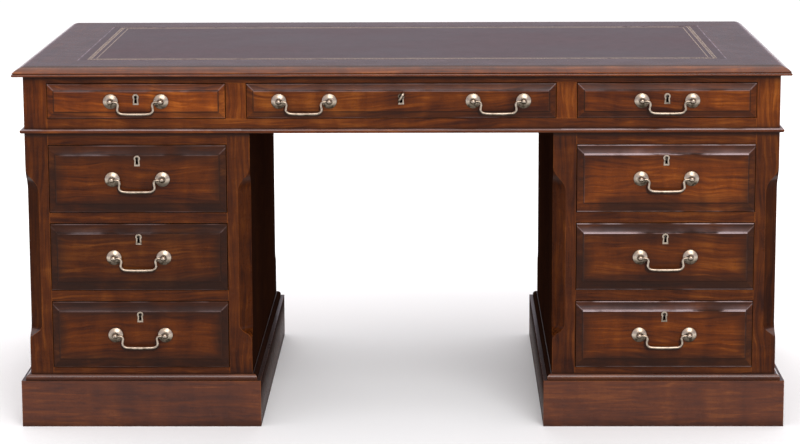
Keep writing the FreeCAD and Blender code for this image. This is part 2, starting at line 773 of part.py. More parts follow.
# Drawers. Each is drawn facing -Y, with X = 0 at its middle, Y = 0 in the plane of the frame round it and
# Z = 0 at the bottom edge of its opening.


def drawer_places():
    """Every drawer, from the front frieze to the lowest pedestal drawers."""
    frieze = (
        ("left", -PEDESTAL_X, SIDE_OPENING_WIDTH, {"handle": 0}),
        (
            "centre",
            0,
            2 * CENTRE_OPENING_HALF,
            {"left_handle": -CENTRE_HANDLE_OFFSET, "right_handle": CENTRE_HANDLE_OFFSET},
        ),
        ("right", PEDESTAL_X, SIDE_OPENING_WIDTH, {"handle": 0}),
    )
    places = [
        DrawerPlace(
            f"{prefix}{name}_frieze_drawer",
            x,
            FRIEZE_OPENING_BOTTOM,
            width,
            FRIEZE_OPENING_HEIGHT,
            facing,
            FRIEZE_DRAWER_DEPTH,
            FRIEZE_BEVEL_AT_ENDS,
            handles,
        )
        for facing, prefix in ((FRONT, ""), (REAR, "rear_"))
        for name, x, width, handles in frieze
    ]
    places += [
        DrawerPlace(
            f"{side_name}_{level}_drawer",
            side * PEDESTAL_X,
            floor,
            SIDE_OPENING_WIDTH,
            PEDESTAL_DRAWER_OPENING,
            FRONT,
            PEDESTAL_DRAWER_DEPTH,
            PEDESTAL_BEVEL_AT_ENDS,
            {"handle": 0},
        )
        for side_name, side in SIDES.items()
        for level, floor in zip(PEDESTAL_DRAWER_NAMES, drawer_floors())
    ]
    return places


def in_opening(shapes, place):
    """Shapes drawn for a drawer, moved to its opening."""
    turn = 0 if place.facing == FRONT else 180
    faced = [turned_about(shape, ORIGIN, UP, turn) for shape in shapes]
    return moved(faced, place.x, place.facing * CARCASS_Y, place.floor)


def handle_xs(place):
    """The middle of each handle, as drawn: a rear drawer is turned round when it is moved to its opening."""
    return [-place.facing * offset for offset in place.handles.values()]


def keyhole_prism(key_x, key_z, front, back, radius, neck_half, foot_half, tail):
    """A round-headed keyhole shape between two depths, with its head round the key."""
    head = Part.makeCylinder(radius, back - front, Vector(key_x, front, key_z), BACK)
    corners = [
        Vector(key_x - neck_half, front, key_z),
        Vector(key_x + neck_half, front, key_z),
        Vector(key_x + foot_half, front, key_z - tail),
        Vector(key_x - foot_half, front, key_z - tail),
    ]
    leg = Part.Face(Part.makePolygon(corners + corners[:1])).extrude(BACK * (back - front))
    return head.fuse(leg).removeSplitter()


def keyhole(key_x, key_z, front, back):
    return keyhole_prism(
        key_x, key_z, front, back, KEYHOLE_RADIUS, KEYHOLE_NECK_HALF, KEYHOLE_FOOT_HALF, KEYHOLE_TAIL
    )


def escutcheon_blank(key_x, key_z, face):
    """The escutcheon's outline, let into a face and standing a little proud of it."""
    return keyhole_prism(
        key_x,
        key_z,
        face - ESCUTCHEON_PROUD,
        face + ESCUTCHEON_SET_IN,
        ESCUTCHEON_RADIUS,
        ESCUTCHEON_NECK_HALF,
        ESCUTCHEON_FOOT_HALF,
        ESCUTCHEON_TAIL,
    )


def escutcheon(key_x, key_z, face):
    hole = keyhole(key_x, key_z, face - ESCUTCHEON_PROUD, face + ESCUTCHEON_SET_IN)
    return escutcheon_blank(key_x, key_z, face).cut(hole)


def lock_blank(place):
    """The space of a drawer's lock case, let into the back and the top edge of its front."""
    half = LOCK_WIDTH / 2
    low = place.height - KEYHOLE_DROP - LOCK_BELOW_KEY
    return block(-half, half, LOCK_FRONT, DRAWER_BACKING, low, place.height - DRAWER_REVEAL)


def lock_case(place):
    """A hollow case with a slot for the bolt in its top edge and a keyhole in its front wall."""
    half = LOCK_WIDTH / 2 - LOCK_WALL
    top = place.height - DRAWER_REVEAL
    low = place.height - KEYHOLE_DROP - LOCK_BELOW_KEY + LOCK_WALL
    hollow = block(
        -half, half, LOCK_FRONT + LOCK_WALL, DRAWER_BACKING - LOCK_WALL, low, top - LOCK_WALL
    )
    slot_half = BOLT_WIDTH / 2 + BOLT_CLEARANCE
    slot_depth = BOLT_THICKNESS / 2 + BOLT_CLEARANCE
    slot = block(
        -slot_half, slot_half, LOCK_MIDDLE - slot_depth, LOCK_MIDDLE + slot_depth, top - LOCK_WALL, top
    )
    hole = keyhole(0, place.height - KEYHOLE_DROP, LOCK_FRONT, LOCK_FRONT + LOCK_WALL)
    return without(lock_blank(place), [hollow, slot, hole])


def lock_bolt(place):
    """The bolt, drawn back into its case."""
    half_width = BOLT_WIDTH / 2
    half_depth = BOLT_THICKNESS / 2
    return block(
        -half_width,
        half_width,
        LOCK_MIDDLE - half_depth,
        LOCK_MIDDLE + half_depth,
        place.height - KEYHOLE_DROP + BOLT_ABOVE_KEY,
        place.height - DRAWER_REVEAL - BOLT_SET_BACK,
    )


def dovetails(place, root, tip):
    """The tails of the right side board, flaring from their root to their tip."""
    outer = place.width / 2 - DRAWER_REVEAL
    low = DRAWER_GAP_BELOW
    height = place.height - DRAWER_GAP_ABOVE - low
    count = max(1, round(height / DOVETAIL_PITCH))
    pitch = height / count
    tip_half = pitch * DOVETAIL_SHARE / 2
    root_half = tip_half - DOVETAIL_FLARE
    tails = []
    for index in range(count):
        middle = low + (index + 0.5) * pitch
        face = outline(
            [
                (root, middle - root_half),
                (tip, middle - tip_half),
                (tip, middle + tip_half),
                (root, middle + root_half),
            ]
        )
        tail = face.extrude(ALONG * DRAWER_SIDE_THICKNESS)
        tails.append(tail.translated(ALONG * (outer - DRAWER_SIDE_THICKNESS)))
    return tails


def front_tails(place):
    return dovetails(place, DRAWER_BACKING, DOVETAIL_LAP)


def rear_tails(place):
    return dovetails(place, place.depth - DRAWER_SIDE_THICKNESS, place.depth)


def drawer_bottom(place):
    """The bottom board, held in grooves on all four sides."""
    half = place.width / 2 - DRAWER_REVEAL - DRAWER_SIDE_THICKNESS + DRAWER_GROOVE_DEPTH
    low = DRAWER_GAP_BELOW + DRAWER_GROOVE_RISE
    back = place.depth - DRAWER_SIDE_THICKNESS + DRAWER_GROOVE_DEPTH
    return block(
        -half, half, DRAWER_BACKING - DRAWER_GROOVE_DEPTH, back, low, low + DRAWER_BOTTOM_THICKNESS
    )


def drawer_side(place):
    """The right side board, with its tails and the groove for the bottom."""
    outer = place.width / 2 - DRAWER_REVEAL
    board = block(
        outer - DRAWER_SIDE_THICKNESS,
        outer,
        DRAWER_BACKING,
        place.depth - DRAWER_SIDE_THICKNESS,
        DRAWER_GAP_BELOW,
        place.height - DRAWER_GAP_ABOVE,
    )
    tails = front_tails(place) + rear_tails(place)
    return board.fuse(tails).removeSplitter().cut(drawer_bottom(place))


def drawer_back(place):
    half = place.width / 2 - DRAWER_REVEAL
    board = block(
        -half,
        half,
        place.depth - DRAWER_SIDE_THICKNESS,
        place.depth,
        DRAWER_GAP_BELOW,
        place.height - DRAWER_GAP_ABOVE,
    )
    sockets = [copy for tail in rear_tails(place) for copy in at_sides(tail)]
    return without(board, [*sockets, drawer_bottom(place)])


def raised_front(place):
    """A front board with a field that stands proud inside a mitred bevel."""
    half = place.width / 2 - DRAWER_REVEAL
    low = DRAWER_REVEAL
    high = place.height - DRAWER_REVEAL
    field_half = half - BEVEL_AT_SIDES
    field_low = low + place.end_bevel
    field_high = high - place.end_bevel
    backing = block(-half, half, -DRAWER_EDGE_PROUD, DRAWER_BACKING, low, high)
    bevel = Part.makeWedge(
        -field_half,
        -BEVEL_PROUD,
        field_low,
        low,
        -half,
        field_half,
        -DRAWER_EDGE_PROUD,
        field_high,
        high,
        half,
    )
    field = block(-field_half, field_half, -FIELD_PROUD, -BEVEL_PROUD, field_low, field_high)
    return backing.fuse([bevel, field]).removeSplitter()


def drawer_front(place):
    """The raised front, cut for the tails, the bottom, the lock, the keyhole and the handle stems."""
    key_z = place.height - KEYHOLE_DROP
    tools = [copy for tail in front_tails(place) for copy in at_sides(tail)]
    tools.append(drawer_bottom(place))
    tools.append(lock_blank(place))
    tools.append(escutcheon_blank(0, key_z, -FIELD_PROUD))
    tools.append(keyhole(0, key_z, -FIELD_PROUD, LOCK_FRONT))
    for x, z in post_places(place):
        foot = Vector(x, -FIELD_PROUD, z)
        length = FIELD_PROUD + DRAWER_BACKING
        tools.append(Part.makeCylinder(STEM_RADIUS + STEM_CLEARANCE, length, foot, BACK))
    return without(raised_front(place), tools)


def drawer_box(place):
    """A drawer's five boards: front, two sides, back and bottom."""
    boards = [drawer_front(place), *at_sides(drawer_side(place)), drawer_back(place), drawer_bottom(place)]
    return in_opening(boards, place)


# Handles. Roses and ball posts are drawn about Y, with their foot at the origin.


def post_places(place):
    """The two posts of each handle of a drawer."""
    half = HANDLE_CENTRES / 2
    return [(x + side * half, place.height / 2) for x in handle_xs(place) for side in (-1, 1)]


def rose():
    rim = (ROSE_RADIUS, ROSE_RIM)
    crown = (ROSE_CROWN_RADIUS, ROSE_HEIGHT)
    return turned(
        [(NECK_RADIUS, 0), (ROSE_RADIUS, 0), rim, dome_point(rim, crown), (NECK_RADIUS, ROSE_HEIGHT)]
    )


def ball_post(bail_side):
    """A ball on a collared neck, with a stem through the drawer front and a hole for the bail's pin."""
    waist = BALL_OFFSET - math.sqrt(BALL_RADIUS**2 - NECK_RADIUS**2)
    collar_top = ROSE_HEIGHT + COLLAR_THICKNESS
    stem_end = -(FIELD_PROUD + DRAWER_BACKING + NUT_THICKNESS + STEM_BEYOND_NUT)
    post = turned(
        [
            (0, stem_end),
            (STEM_RADIUS, stem_end),
            (STEM_RADIUS, 0),
            (NECK_RADIUS, 0),
            (NECK_RADIUS, ROSE_HEIGHT),
            (ROSE_CROWN_RADIUS, ROSE_HEIGHT),
            (ROSE_CROWN_RADIUS, collar_top),
            (NECK_RADIUS, collar_top),
            (NECK_RADIUS, waist),
            (BALL_RADIUS, BALL_OFFSET, 0, BALL_OFFSET + BALL_RADIUS),
        ]
    )
    mouth = Vector(bail_side * 2 * BALL_RADIUS, -BALL_OFFSET, 0)
    depth = 2 * BALL_RADIUS + BAIL_PIN_PAST_CENTRE + BAIL_PIN_END_GAP
    hole = Part.makeCylinder(BAIL_RADIUS + BAIL_PIN_CLEARANCE, depth, mouth, ALONG * -bail_side)
    return post.cut(hole)


def stem_nut():
    """A round nut behind the drawer front, on the stem."""
    near = -(FIELD_PROUD + DRAWER_BACKING)
    far = near - NUT_THICKNESS
    return turned([(STEM_RADIUS, near), (NUT_RADIUS, near), (NUT_RADIUS, far), (STEM_RADIUS, far)])


def handle_mounts(place):
    """Roses, ball posts and nuts of a drawer's handles."""
    pieces = []
    half = HANDLE_CENTRES / 2
    for handle_x in handle_xs(place):
        for side in (-1, 1):
            pieces += moved(
                [rose(), ball_post(-side), stem_nut()],
                handle_x + side * half,
                -FIELD_PROUD,
                place.height / 2,
            )
    return pieces


def bail():
    """A swan-neck bail that hangs from its two pins, drawn about the middle of its pivot line."""
    half = HANDLE_CENTRES / 2
    pin_end = (half + BAIL_PIN_PAST_CENTRE, 0)
    route = [
        pin_end,
        (half - BAIL_ELBOW_INSET, 0),
        (half - BAIL_FOOT_INSET, -BAIL_DROP),
        (BAIL_GRIP_HALF, -BAIL_DROP),
    ]
    path = rounded_path(route, [BAIL_ELBOW_RADIUS, BAIL_CORNER_RADIUS], on_xz)
    section = Part.Wire([Part.makeCircle(BAIL_RADIUS, on_xz(*pin_end), ALONG)])
    arm = path.makePipeShell([section], True, True)
    grip_profile = outline(
        [
            (-BAIL_GRIP_HALF, 0),
            (BAIL_GRIP_HALF, 0),
            (BAIL_GRIP_HALF, BAIL_RADIUS),
            (0, BAIL_GRIP_RADIUS, -BAIL_GRIP_HALF, BAIL_RADIUS),
        ],
        on_xz,
    )
    grip = grip_profile.revolve(ORIGIN, ALONG, 360).translated(UP * -BAIL_DROP)
    return grip.fuse(at_sides(arm))


def drawer_fittings(place, with_bolt=True):
    """All the brass that is fixed to a drawer."""
    pieces = handle_mounts(place)
    pieces.append(escutcheon(0, place.height - KEYHOLE_DROP, -FIELD_PROUD))
    pieces.append(lock_case(place))
    if with_bolt:
        pieces.append(lock_bolt(place))
    return in_opening(pieces, place)


def drawer_bail(place, offset):
    x = -place.facing * offset
    hung = moved([bail()], x, -HANDLE_PIVOT_PROUD, place.height / 2)
    return in_opening(hung, place)


def bow_outline(width, length, low, high, middle_y):
    """A rounded bar on the YZ plane, as thick along X as low to high."""
    radius = length / 2
    reach = width / 2 - radius
    ends = [
        Part.makeCylinder(radius, high - low, Vector(low, middle_y, z), ALONG) for z in (-reach, reach)
    ]
    return block(low, high, middle_y - radius, middle_y + radius, -reach, reach).fuse(ends)


def key(place):
    """A key with an oval ring bow, standing in the lock and turned a little from upright."""
    shank_front = -(FIELD_PROUD + KEY_STAND_OFF)
    shank_back = DRAWER_BACKING - LOCK_WALL - KEY_END_GAP
    half_bow = KEY_BOW_THICKNESS / 2
    bow_middle = shank_front - KEY_BOW_LENGTH / 2
    bow = bow_outline(KEY_BOW_WIDTH, KEY_BOW_LENGTH, -half_bow, half_bow, bow_middle)
    eye = bow_outline(
        KEY_BOW_WIDTH - 2 * KEY_BOW_RING,
        KEY_BOW_LENGTH - 2 * KEY_BOW_RING,
        -half_bow,
        half_bow,
        bow_middle,
    )
    shank_foot = shank_front - KEY_BOW_RING / 2
    shank = Part.makeCylinder(KEY_SHANK_RADIUS, shank_back - shank_foot, BACK * shank_foot, BACK)
    half_bit = KEY_BIT_THICKNESS / 2
    bit = block(
        -half_bit,
        half_bit,
        LOCK_MIDDLE - KEY_BIT_LENGTH / 2,
        LOCK_MIDDLE + KEY_BIT_LENGTH / 2,
        -KEY_BIT_REACH,
        0,
    )
    whole = bow.cut(eye).fuse([shank, bit]).removeSplitter()
    whole = turned_about(whole, ORIGIN, BACK, KEY_REST_TURN)
    return in_opening(moved([whole], z=place.height - KEYHOLE_DROP), place)


# Cupboard doors. Each is drawn facing -Y like a drawer, at its real height, with its hinges on the left.


def at_cupboard(shapes, side):
    """Shapes drawn for a cupboard, moved to the rear of the pedestal on one side."""
    faced = [turned_about(mirrored(shape, side, 1), ORIGIN, UP, 180) for shape in shapes]
    return moved(faced, side * PEDESTAL_X, CARCASS_Y)


def hinge_bottoms():
    return (DOOR_BOTTOM + HINGE_FROM_END, DOOR_TOP - HINGE_FROM_END - HINGE_LENGTH)


def leaf_plate(face_x, direction, bottom):
    """A hinge leaf let into a face, on its left where direction is -1."""
    low, high = sorted((face_x, face_x + direction * HINGE_LEAF_THICKNESS))
    return block(low, high, 0, HINGE_LEAF_WIDTH, bottom, bottom + HINGE_LENGTH)


def leaf_recesses(side, face_x, direction):
    return at_cupboard([leaf_plate(face_x, direction, z) for z in hinge_bottoms()], side)


def hinge_leaf(face_x, direction, bottom, first_knuckle):
    """One leaf with every second knuckle, bored for the pin."""
    pitch = (HINGE_LENGTH + HINGE_KNUCKLE_GAP) / HINGE_KNUCKLE_COUNT
    length = pitch - HINGE_KNUCKLE_GAP
    low, high = sorted((face_x, face_x + direction * HINGE_LEAF_THICKNESS))
    leaf = leaf_plate(face_x, direction, bottom)
    for index in range(first_knuckle, HINGE_KNUCKLE_COUNT, 2):
        z = bottom + index * pitch
        foot = Vector(HINGE_X, -HINGE_PROUD, z)
        barrel = Part.makeCylinder(HINGE_KNUCKLE_RADIUS, length, foot)
        tab = block(low, high, -HINGE_PROUD, 0, z, z + length)
        leaf = leaf.fuse([barrel, tab])
    bore_foot = Vector(HINGE_X, -HINGE_PROUD, bottom)
    bore = Part.makeCylinder(HINGE_PIN_RADIUS + HINGE_PIN_CLEARANCE, HINGE_LENGTH, bore_foot)
    return leaf.removeSplitter().cut(bore)


def cupboard_hinges():
    """The leaves on the posts, with the pins."""
    post_face = -SIDE_OPENING_HALF
    pieces = []
    for side in SIDES.values():
        for bottom in hinge_bottoms():
            foot = Vector(HINGE_X, -HINGE_PROUD, bottom)
            pin = Part.makeCylinder(HINGE_PIN_RADIUS, HINGE_LENGTH, foot)
            pieces += at_cupboard([hinge_leaf(post_face, -1, bottom, 0), pin], side)
    return pieces


def door_panel():
    """A panel with a tongue all round and a raised field."""
    half = DOOR_HALF - DOOR_FRAME_WIDTH
    low = DOOR_BOTTOM + DOOR_FRAME_WIDTH
    high = DOOR_TOP - DOOR_FRAME_WIDTH
    front = (DOOR_THICKNESS - DOOR_PANEL_TONGUE) / 2
    deep = DOOR_GROOVE_DEPTH
    sheet = block(
        -half - deep, half + deep, front, front + DOOR_PANEL_TONGUE, low - deep, high + deep
    )
    edge = DOOR_PANEL_MARGIN
    field = DOOR_PANEL_MARGIN + DOOR_PANEL_BEVEL
    raised = Part.makeWedge(
        field - half,
        DOOR_PANEL_SET_BACK,
        low + field,
        low + edge,
        edge - half,
        half - field,
        front,
        high - field,
        high - edge,
        half - edge,
    )
    return sheet, sheet.fuse(raised).removeSplitter()


def door_lock():
    """A plain lock case let into the back of the free stile."""
    half = DOOR_LOCK_HEIGHT / 2
    inner_x = DOOR_HALF - DOOR_FRAME_WIDTH + 2 * DOOR_GROOVE_DEPTH
    return block(
        inner_x,
        DOOR_HALF,
        DOOR_THICKNESS - LOCK_DEPTH,
        DOOR_THICKNESS,
        DOOR_KEY_Z - half,
        DOOR_KEY_Z + half,
    )


def knob():
    """A turned knob with a stem through the door."""
    neck = (KNOB_NECK_RADIUS, KNOB_NECK_HEIGHT)
    widest = (KNOB_RADIUS, KNOB_WIDEST_HEIGHT)
    return turned(
        [
            (0, -DOOR_THICKNESS),
            (STEM_RADIUS, -DOOR_THICKNESS),
            (STEM_RADIUS, 0),
            (KNOB_FOOT_RADIUS, 0),
            (KNOB_FOOT_RADIUS, KNOB_FOOT_THICKNESS),
            (KNOB_NECK_RADIUS, KNOB_NECK_FOOT),
            neck,
            arc_point(neck, widest, -KNOB_THROAT),
            dome_point(widest, (0, KNOB_LENGTH)),
        ]
    )


def door_wood(side):
    """Two stiles, two rails and the panel of a cupboard door."""
    inner = DOOR_HALF - DOOR_FRAME_WIDTH
    sheet, panel = door_panel()
    knob_z = DOOR_KEY_Z - KNOB_BELOW_KEY
    stem_foot = Vector(DOOR_KEY_X, 0, knob_z)
    tools = [
        sheet,
        door_lock(),
        escutcheon_blank(DOOR_KEY_X, DOOR_KEY_Z, 0),
        keyhole(DOOR_KEY_X, DOOR_KEY_Z, 0, DOOR_THICKNESS - LOCK_DEPTH),
        Part.makeCylinder(STEM_RADIUS + STEM_CLEARANCE, DOOR_THICKNESS, stem_foot, BACK),
    ]
    tools += [leaf_plate(-DOOR_HALF, 1, bottom) for bottom in hinge_bottoms()]
    stile = block(inner, DOOR_HALF, 0, DOOR_THICKNESS, DOOR_BOTTOM, DOOR_TOP)
    low_rail = block(-inner, inner, 0, DOOR_THICKNESS, DOOR_BOTTOM, DOOR_BOTTOM + DOOR_FRAME_WIDTH)
    high_rail = block(-inner, inner, 0, DOOR_THICKNESS, DOOR_TOP - DOOR_FRAME_WIDTH, DOOR_TOP)
    frame = [without(member, tools) for member in (*at_sides(stile), low_rail, high_rail)]
    return at_cupboard([*frame, panel], side)


def door_fittings(side):
    """The leaves on the door, its knob, escutcheon and lock case."""
    pieces = [hinge_leaf(-DOOR_HALF, 1, bottom, 1) for bottom in hinge_bottoms()]
    pieces += moved([knob()], DOOR_KEY_X, 0, DOOR_KEY_Z - KNOB_BELOW_KEY)
    pieces.append(escutcheon(DOOR_KEY_X, DOOR_KEY_Z, 0))
    pieces.append(door_lock())
    return at_cupboard(pieces, side)


# Writing the nodes


def save(name, shapes):
    solids = [solid for shape in shapes for solid in shape.Solids]
    Part.makeCompound(solids).exportStep(os.path.join("parts", name + ".step"))


def save_frame():
    """The fixed pieces of the top, the frieze and the pedestals."""
    save("top_border", top_border())
    save("top_core_board", top_core_board())
    save("writing_leather", writing_leather())
    save("frieze_posts", frieze_posts())
    save("frieze_rails", frieze_rails())
    save("frieze_end_panels", frieze_end_panels())
    save("frieze_partitions", frieze_partitions())
    save("frieze_runners", frieze_runners())
    save("frieze_lip_moulding", frieze_lip_moulding())
    save("pedestal_posts", pedestal_posts())
    save("pedestal_side_panels", pedestal_side_panels())
    save("pedestal_rails", pedestal_rails())
    save("pedestal_boards_and_runners", pedestal_boards() + pedestal_runners() + cupboard_shelves())
    save("pedestal_plinths", pedestal_plinths() + plinth_mouldings())
    save("locating_dowels", dowels(DOWEL_RADIUS))
    save("cupboard_hinges", cupboard_hinges())


def save_drawers():
    """Each drawer's boards, its fixed brass and its bails; the front centre drawer has the key."""
    for place in drawer_places():
        keyed = place.name == "centre_frieze_drawer"
        save(place.name, drawer_box(place))
        save(place.name + "_fittings", drawer_fittings(place, with_bolt=not keyed))
        for handle, offset in place.handles.items():
            save(f"{place.name}_{handle}", drawer_bail(place, offset))
        if keyed:
            save("centre_drawer_key", key(place))
            save("centre_drawer_lock_bolt", in_opening([lock_bolt(place)], place))


def save_doors():
    for name, side in SIDES.items():
        save(name + "_cupboard_door", door_wood(side))
        save(name + "_cupboard_door_fittings", door_fittings(side))


def main():
    os.makedirs("parts", exist_ok=True)
    save_frame()
    save_drawers()
    save_doors()


if __name__ == "__main__":
    main()
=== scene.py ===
import json
import math

import bpy
from bpy.props import FloatProperty, FloatVectorProperty, IntProperty, PointerProperty
from mathutils import Matrix, Vector


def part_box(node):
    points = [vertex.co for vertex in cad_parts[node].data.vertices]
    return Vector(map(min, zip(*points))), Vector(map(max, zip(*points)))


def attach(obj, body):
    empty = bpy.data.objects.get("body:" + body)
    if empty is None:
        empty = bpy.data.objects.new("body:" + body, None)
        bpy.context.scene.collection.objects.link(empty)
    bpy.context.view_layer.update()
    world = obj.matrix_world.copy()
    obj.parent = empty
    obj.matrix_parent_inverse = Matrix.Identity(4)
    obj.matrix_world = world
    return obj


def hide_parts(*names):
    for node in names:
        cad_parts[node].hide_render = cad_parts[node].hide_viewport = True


bl_info = {
    "name": "Partners Desk",
    "version": (1, 0, 0),
    "blender": (4, 5, 0),
    "location": "3D View > Sidebar > Desk",
    "description": "Polished mahogany, tooled leather and brass for a partners desk, in a pale room",
    "category": "Object",
}

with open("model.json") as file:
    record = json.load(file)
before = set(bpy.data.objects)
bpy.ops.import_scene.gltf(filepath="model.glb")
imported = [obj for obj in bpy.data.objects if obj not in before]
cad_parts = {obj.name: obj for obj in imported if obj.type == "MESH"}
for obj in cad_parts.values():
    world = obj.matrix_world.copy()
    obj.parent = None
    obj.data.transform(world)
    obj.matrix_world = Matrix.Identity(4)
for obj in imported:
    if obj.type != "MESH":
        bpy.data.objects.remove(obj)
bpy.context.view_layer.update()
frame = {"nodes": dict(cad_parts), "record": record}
NODES = frame["nodes"]
BODIES = frame["record"]["behaviour"]["bodies"]

# Places read from the desk itself, in metres
TOP_LOW, TOP_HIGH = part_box("top_border")
LEATHER_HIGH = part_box("writing_leather")[1]
LIP_LOW, LIP_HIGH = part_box("frieze_lip_moulding")
POST_HALF_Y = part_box("frieze_posts")[1].y
PLINTH_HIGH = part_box("pedestal_plinths")[1]
PLINTH_INNER_X = min(v.co.x for v in NODES["pedestal_plinths"].data.vertices if v.co.x > 0)
PEDESTAL_MIDDLE = (PLINTH_INNER_X + PLINTH_HIGH.x) / 2

# Sizes of the construction that the finishes follow, in metres
FRONT_BOARD = 0.020
SIDE_BOARD = 0.012
BEVEL_AT_SIDES = 0.014
BEVEL_AT_ENDS = {"frieze": 0.014, "pedestal": 0.019}
TAIL_PITCH = 0.034
TAIL_SHARE = 0.6
TAIL_FLARE = 0.0025
TAIL_LAP = 0.006
DOOR_FRAME = 0.055
GILT_THICKNESS = 0.00012
# Half the width that holds the knee-hole and the walls beside it
KNEE_HOLE_HALF = 0.330
# Points of a drawer that stand this far before the posts are on its front board, and points this
# far behind that board are on its other boards
BEFORE_POSTS = 0.0015
BEHIND_FRONT = 0.001
# Room for rounding where two heights are compared
ROUNDING = 0.0001

# Nodes by the way their grain runs, each with how light its timber is; this is partly its own tone and
# partly painted shade, as the pedestals are set darker than the frieze
UPRIGHT_NODES = {"frieze_posts": 0.72, "pedestal_posts": 0.41, "pedestal_side_panels": 0.62}
LEVEL_NODES = {"frieze_rails": 0.66, "pedestal_rails": 0.44}
DEEP_NODES = {"frieze_end_panels": 0.85}
# Mitred nodes, each with how light its timber is and how far it is faded; the plinths are set darker than
# the top as painted shade
MITRED_NODES = {
    "top_border": (0.95, 0.22),
    "frieze_lip_moulding": (0.70, 0.10),
    "pedestal_plinths": (0.62, 0.35),
}
# How light the doors are, and each drawer's front on both sides of the desk; the differences are partly the
# timber's own tone and partly painted shade, as the left pedestal's fronts are set darker than the right's
DOOR_TONE = 0.8
DRAWER_TONES = {
    "left_frieze_drawer": 1.12,
    "centre_frieze_drawer": 0.64,
    "right_frieze_drawer": 0.82,
    "left_top_drawer": 0.53,
    "left_middle_drawer": 0.35,
    "left_bottom_drawer": 0.55,
    "right_top_drawer": 0.80,
    "right_middle_drawer": 0.53,
    "right_bottom_drawer": 0.66,
}
INNER_NODES = (
    "top_core_board",
    "frieze_partitions",
    "frieze_runners",
    "pedestal_boards_and_runners",
    "locating_dowels",
)
DRAWER_NODES = [name for name in NODES if name.endswith("_drawer")]
DOOR_NODES = [name for name in NODES if name.endswith("_cupboard_door")]
BAIL_NODES = [name for name in NODES if name.endswith("_handle")]
BRASS_NODES = [name for name in NODES if name.endswith("_fittings")]
BRASS_NODES += ["cupboard_hinges", "centre_drawer_lock_bolt", "centre_drawer_key"]

# How strongly light bends in each finish, and how rough the wax over the polish is
POLISH_IOR = 1.2
LINING_IOR = 1.45
LEATHER_IOR = 1.33
RUBBED_LEATHER_IOR = 1.40
WAX_ROUGHNESS = 0.14

# Layers of the mahogany's grain: how fine each is along the grain and across it
DRIFT = (1.7, 7)
WAVE = (8.5, 10)
STREAK = (6.8, 95)
RIBBON = (26, 9)
FINE_LINE = (9, 330)
PORE = (90, 1900)
# How far the first two layers bend the grain, in metres
DRIFT_SWAY = 0.065
WAVE_SWAY = 0.024
# Where the timber's colours stand in the figure, from dark to bright
FIGURE_STOPS = (0.388, 0.470, 0.525, 0.640)

# Darkening and wear of the polish, in metres: how deep a corner is dark, as old wax and painted shade, how
# wide an arris is rubbed, and how far under the top and under the lip the painted shadow begins and is full
CORNER_REACH = 0.022
RUBBED_RADIUS = 0.0022
TOP_SHADOW = (0.013, 0.002)
LIP_SHADOW = (0.011, 0.001)

# The matt faces, which are the knee-hole's walls and the posts' chamfers and carry painted shade: how far
# to the side a wall looks at least on the pedestals and on the plinths, below what height the matt and the
# painted shade of the walls fade, and between which turns a face is a chamfer
WALL_TURN = 0.80
PLINTH_TURN = 0.15
MATT_FADE = 0.105
CHAMFER_FROM = (0.55, 0.66)
CHAMFER_TO = (0.90, 0.80)

# Wear and painted highlights of the drawers' arrises, by side and on the frieze, stronger on the right as
# painted light; they also set the fronts' wax sheen
ARRIS_WEAR_AND_GLINT = {"left": 0.4, "right": 1.0}
FRIEZE_WEAR_AND_GLINT = 0.3
# Painted reflection on a front's upper bevel, and how far below the front's top it begins
BEVEL_REFLECTION = 0.30
BEVEL_REFLECTION_DROP = 0.003
# Soft lines on a drawer's front, which are painted highlights on its arrises and mitres and painted shade
# in its quirk: how far each reaches to both sides, how far off its middle it is still full, and its
# strength
FIELD_TOP_LINE = (0.0026, 0.0008, 1.0)
FIELD_SIDE_LINE = (0.0020, 0.0006, 0.10)
FRONT_TOP_LINE = (0.0026, 0.0008, 0.7)
FRONT_FOOT_LINE = (0.0022, 0.0006, 0.5)
MITRE_LINE = (0.0024, 0.0008, 0.22)
QUIRK_LINE = (0.0018, 0.0002, 0.75)
# How far outside the field's edge the painted shade in its quirk lies
QUIRK_SHIFT = 0.0004
# The dark border of a field: how far in it begins, and how dark it is; and how far out it is full
BORDER_DARKENING = {"frieze": (0.010, 0.42), "pedestal": (0.030, 1.0)}
BORDER_FULL = -0.004
# The painted highlight on the crest of the lip moulding: how far below the top it begins and is full
CREST_LINE = (0.0032, 0.0012)

# Half of a bail, from the ball that holds it to the middle of its grip, in millimetres:
# out from the middle, up from the pivot, radius of the rod
BAIL_LINE = (
    (53.0, 0.0, 2.30),
    (46.4, 0.0, 2.30),
    (41.4, -0.1, 2.50),
    (37.6, -1.3, 2.60),
    (35.8, -4.4, 2.60),
    (35.6, -8.2, 2.50),
    (36.4, -12.2, 2.45),
    (36.8, -15.8, 2.50),
    (35.7, -19.6, 2.60),
    (32.5, -22.8, 2.70),
    (28.0, -24.4, 2.80),
    (21.0, -25.0, 2.95),
    (11.0, -25.4, 3.15),
    (0.0, -25.5, 3.25),
)
BAIL_END_RADIUS = BAIL_LINE[0][2] / 1000
# Steps from each of these points to the next, and the turn in degrees up to which faces look smooth
BAIL_STEPS = 3
BAIL_SMOOTH_ANGLE = 50

# The painted shadow of a bail on the wood: its half width, drop and corner, how far off it sits,
# its soft line, and over how much of its drop it fades in
BAIL_SHADOW_HALF = 0.0364
BAIL_SHADOW_DROP = 0.0255
BAIL_SHADOW_CORNER = 0.0090
BAIL_SHADOW_BESIDE = 0.0030
BAIL_SHADOW_BELOW = 0.0052
BAIL_SHADOW_LINE = (0.0046, 0.0006, 0.85)
BAIL_SHADOW_FADE = 0.010

# Painted reflection: brass that looks upwards is tinted this much darker and warmer
CROWN_REFLECTION = (0.86, 0.77, 0.72)

# A lozenge of the tooled roll: its points, its radius as a share of the band's width, and how far
# out every second point stays
LOZENGE_POINTS = 8
LOZENGE_SHARE = 0.30
LOZENGE_WAIST = 0.55

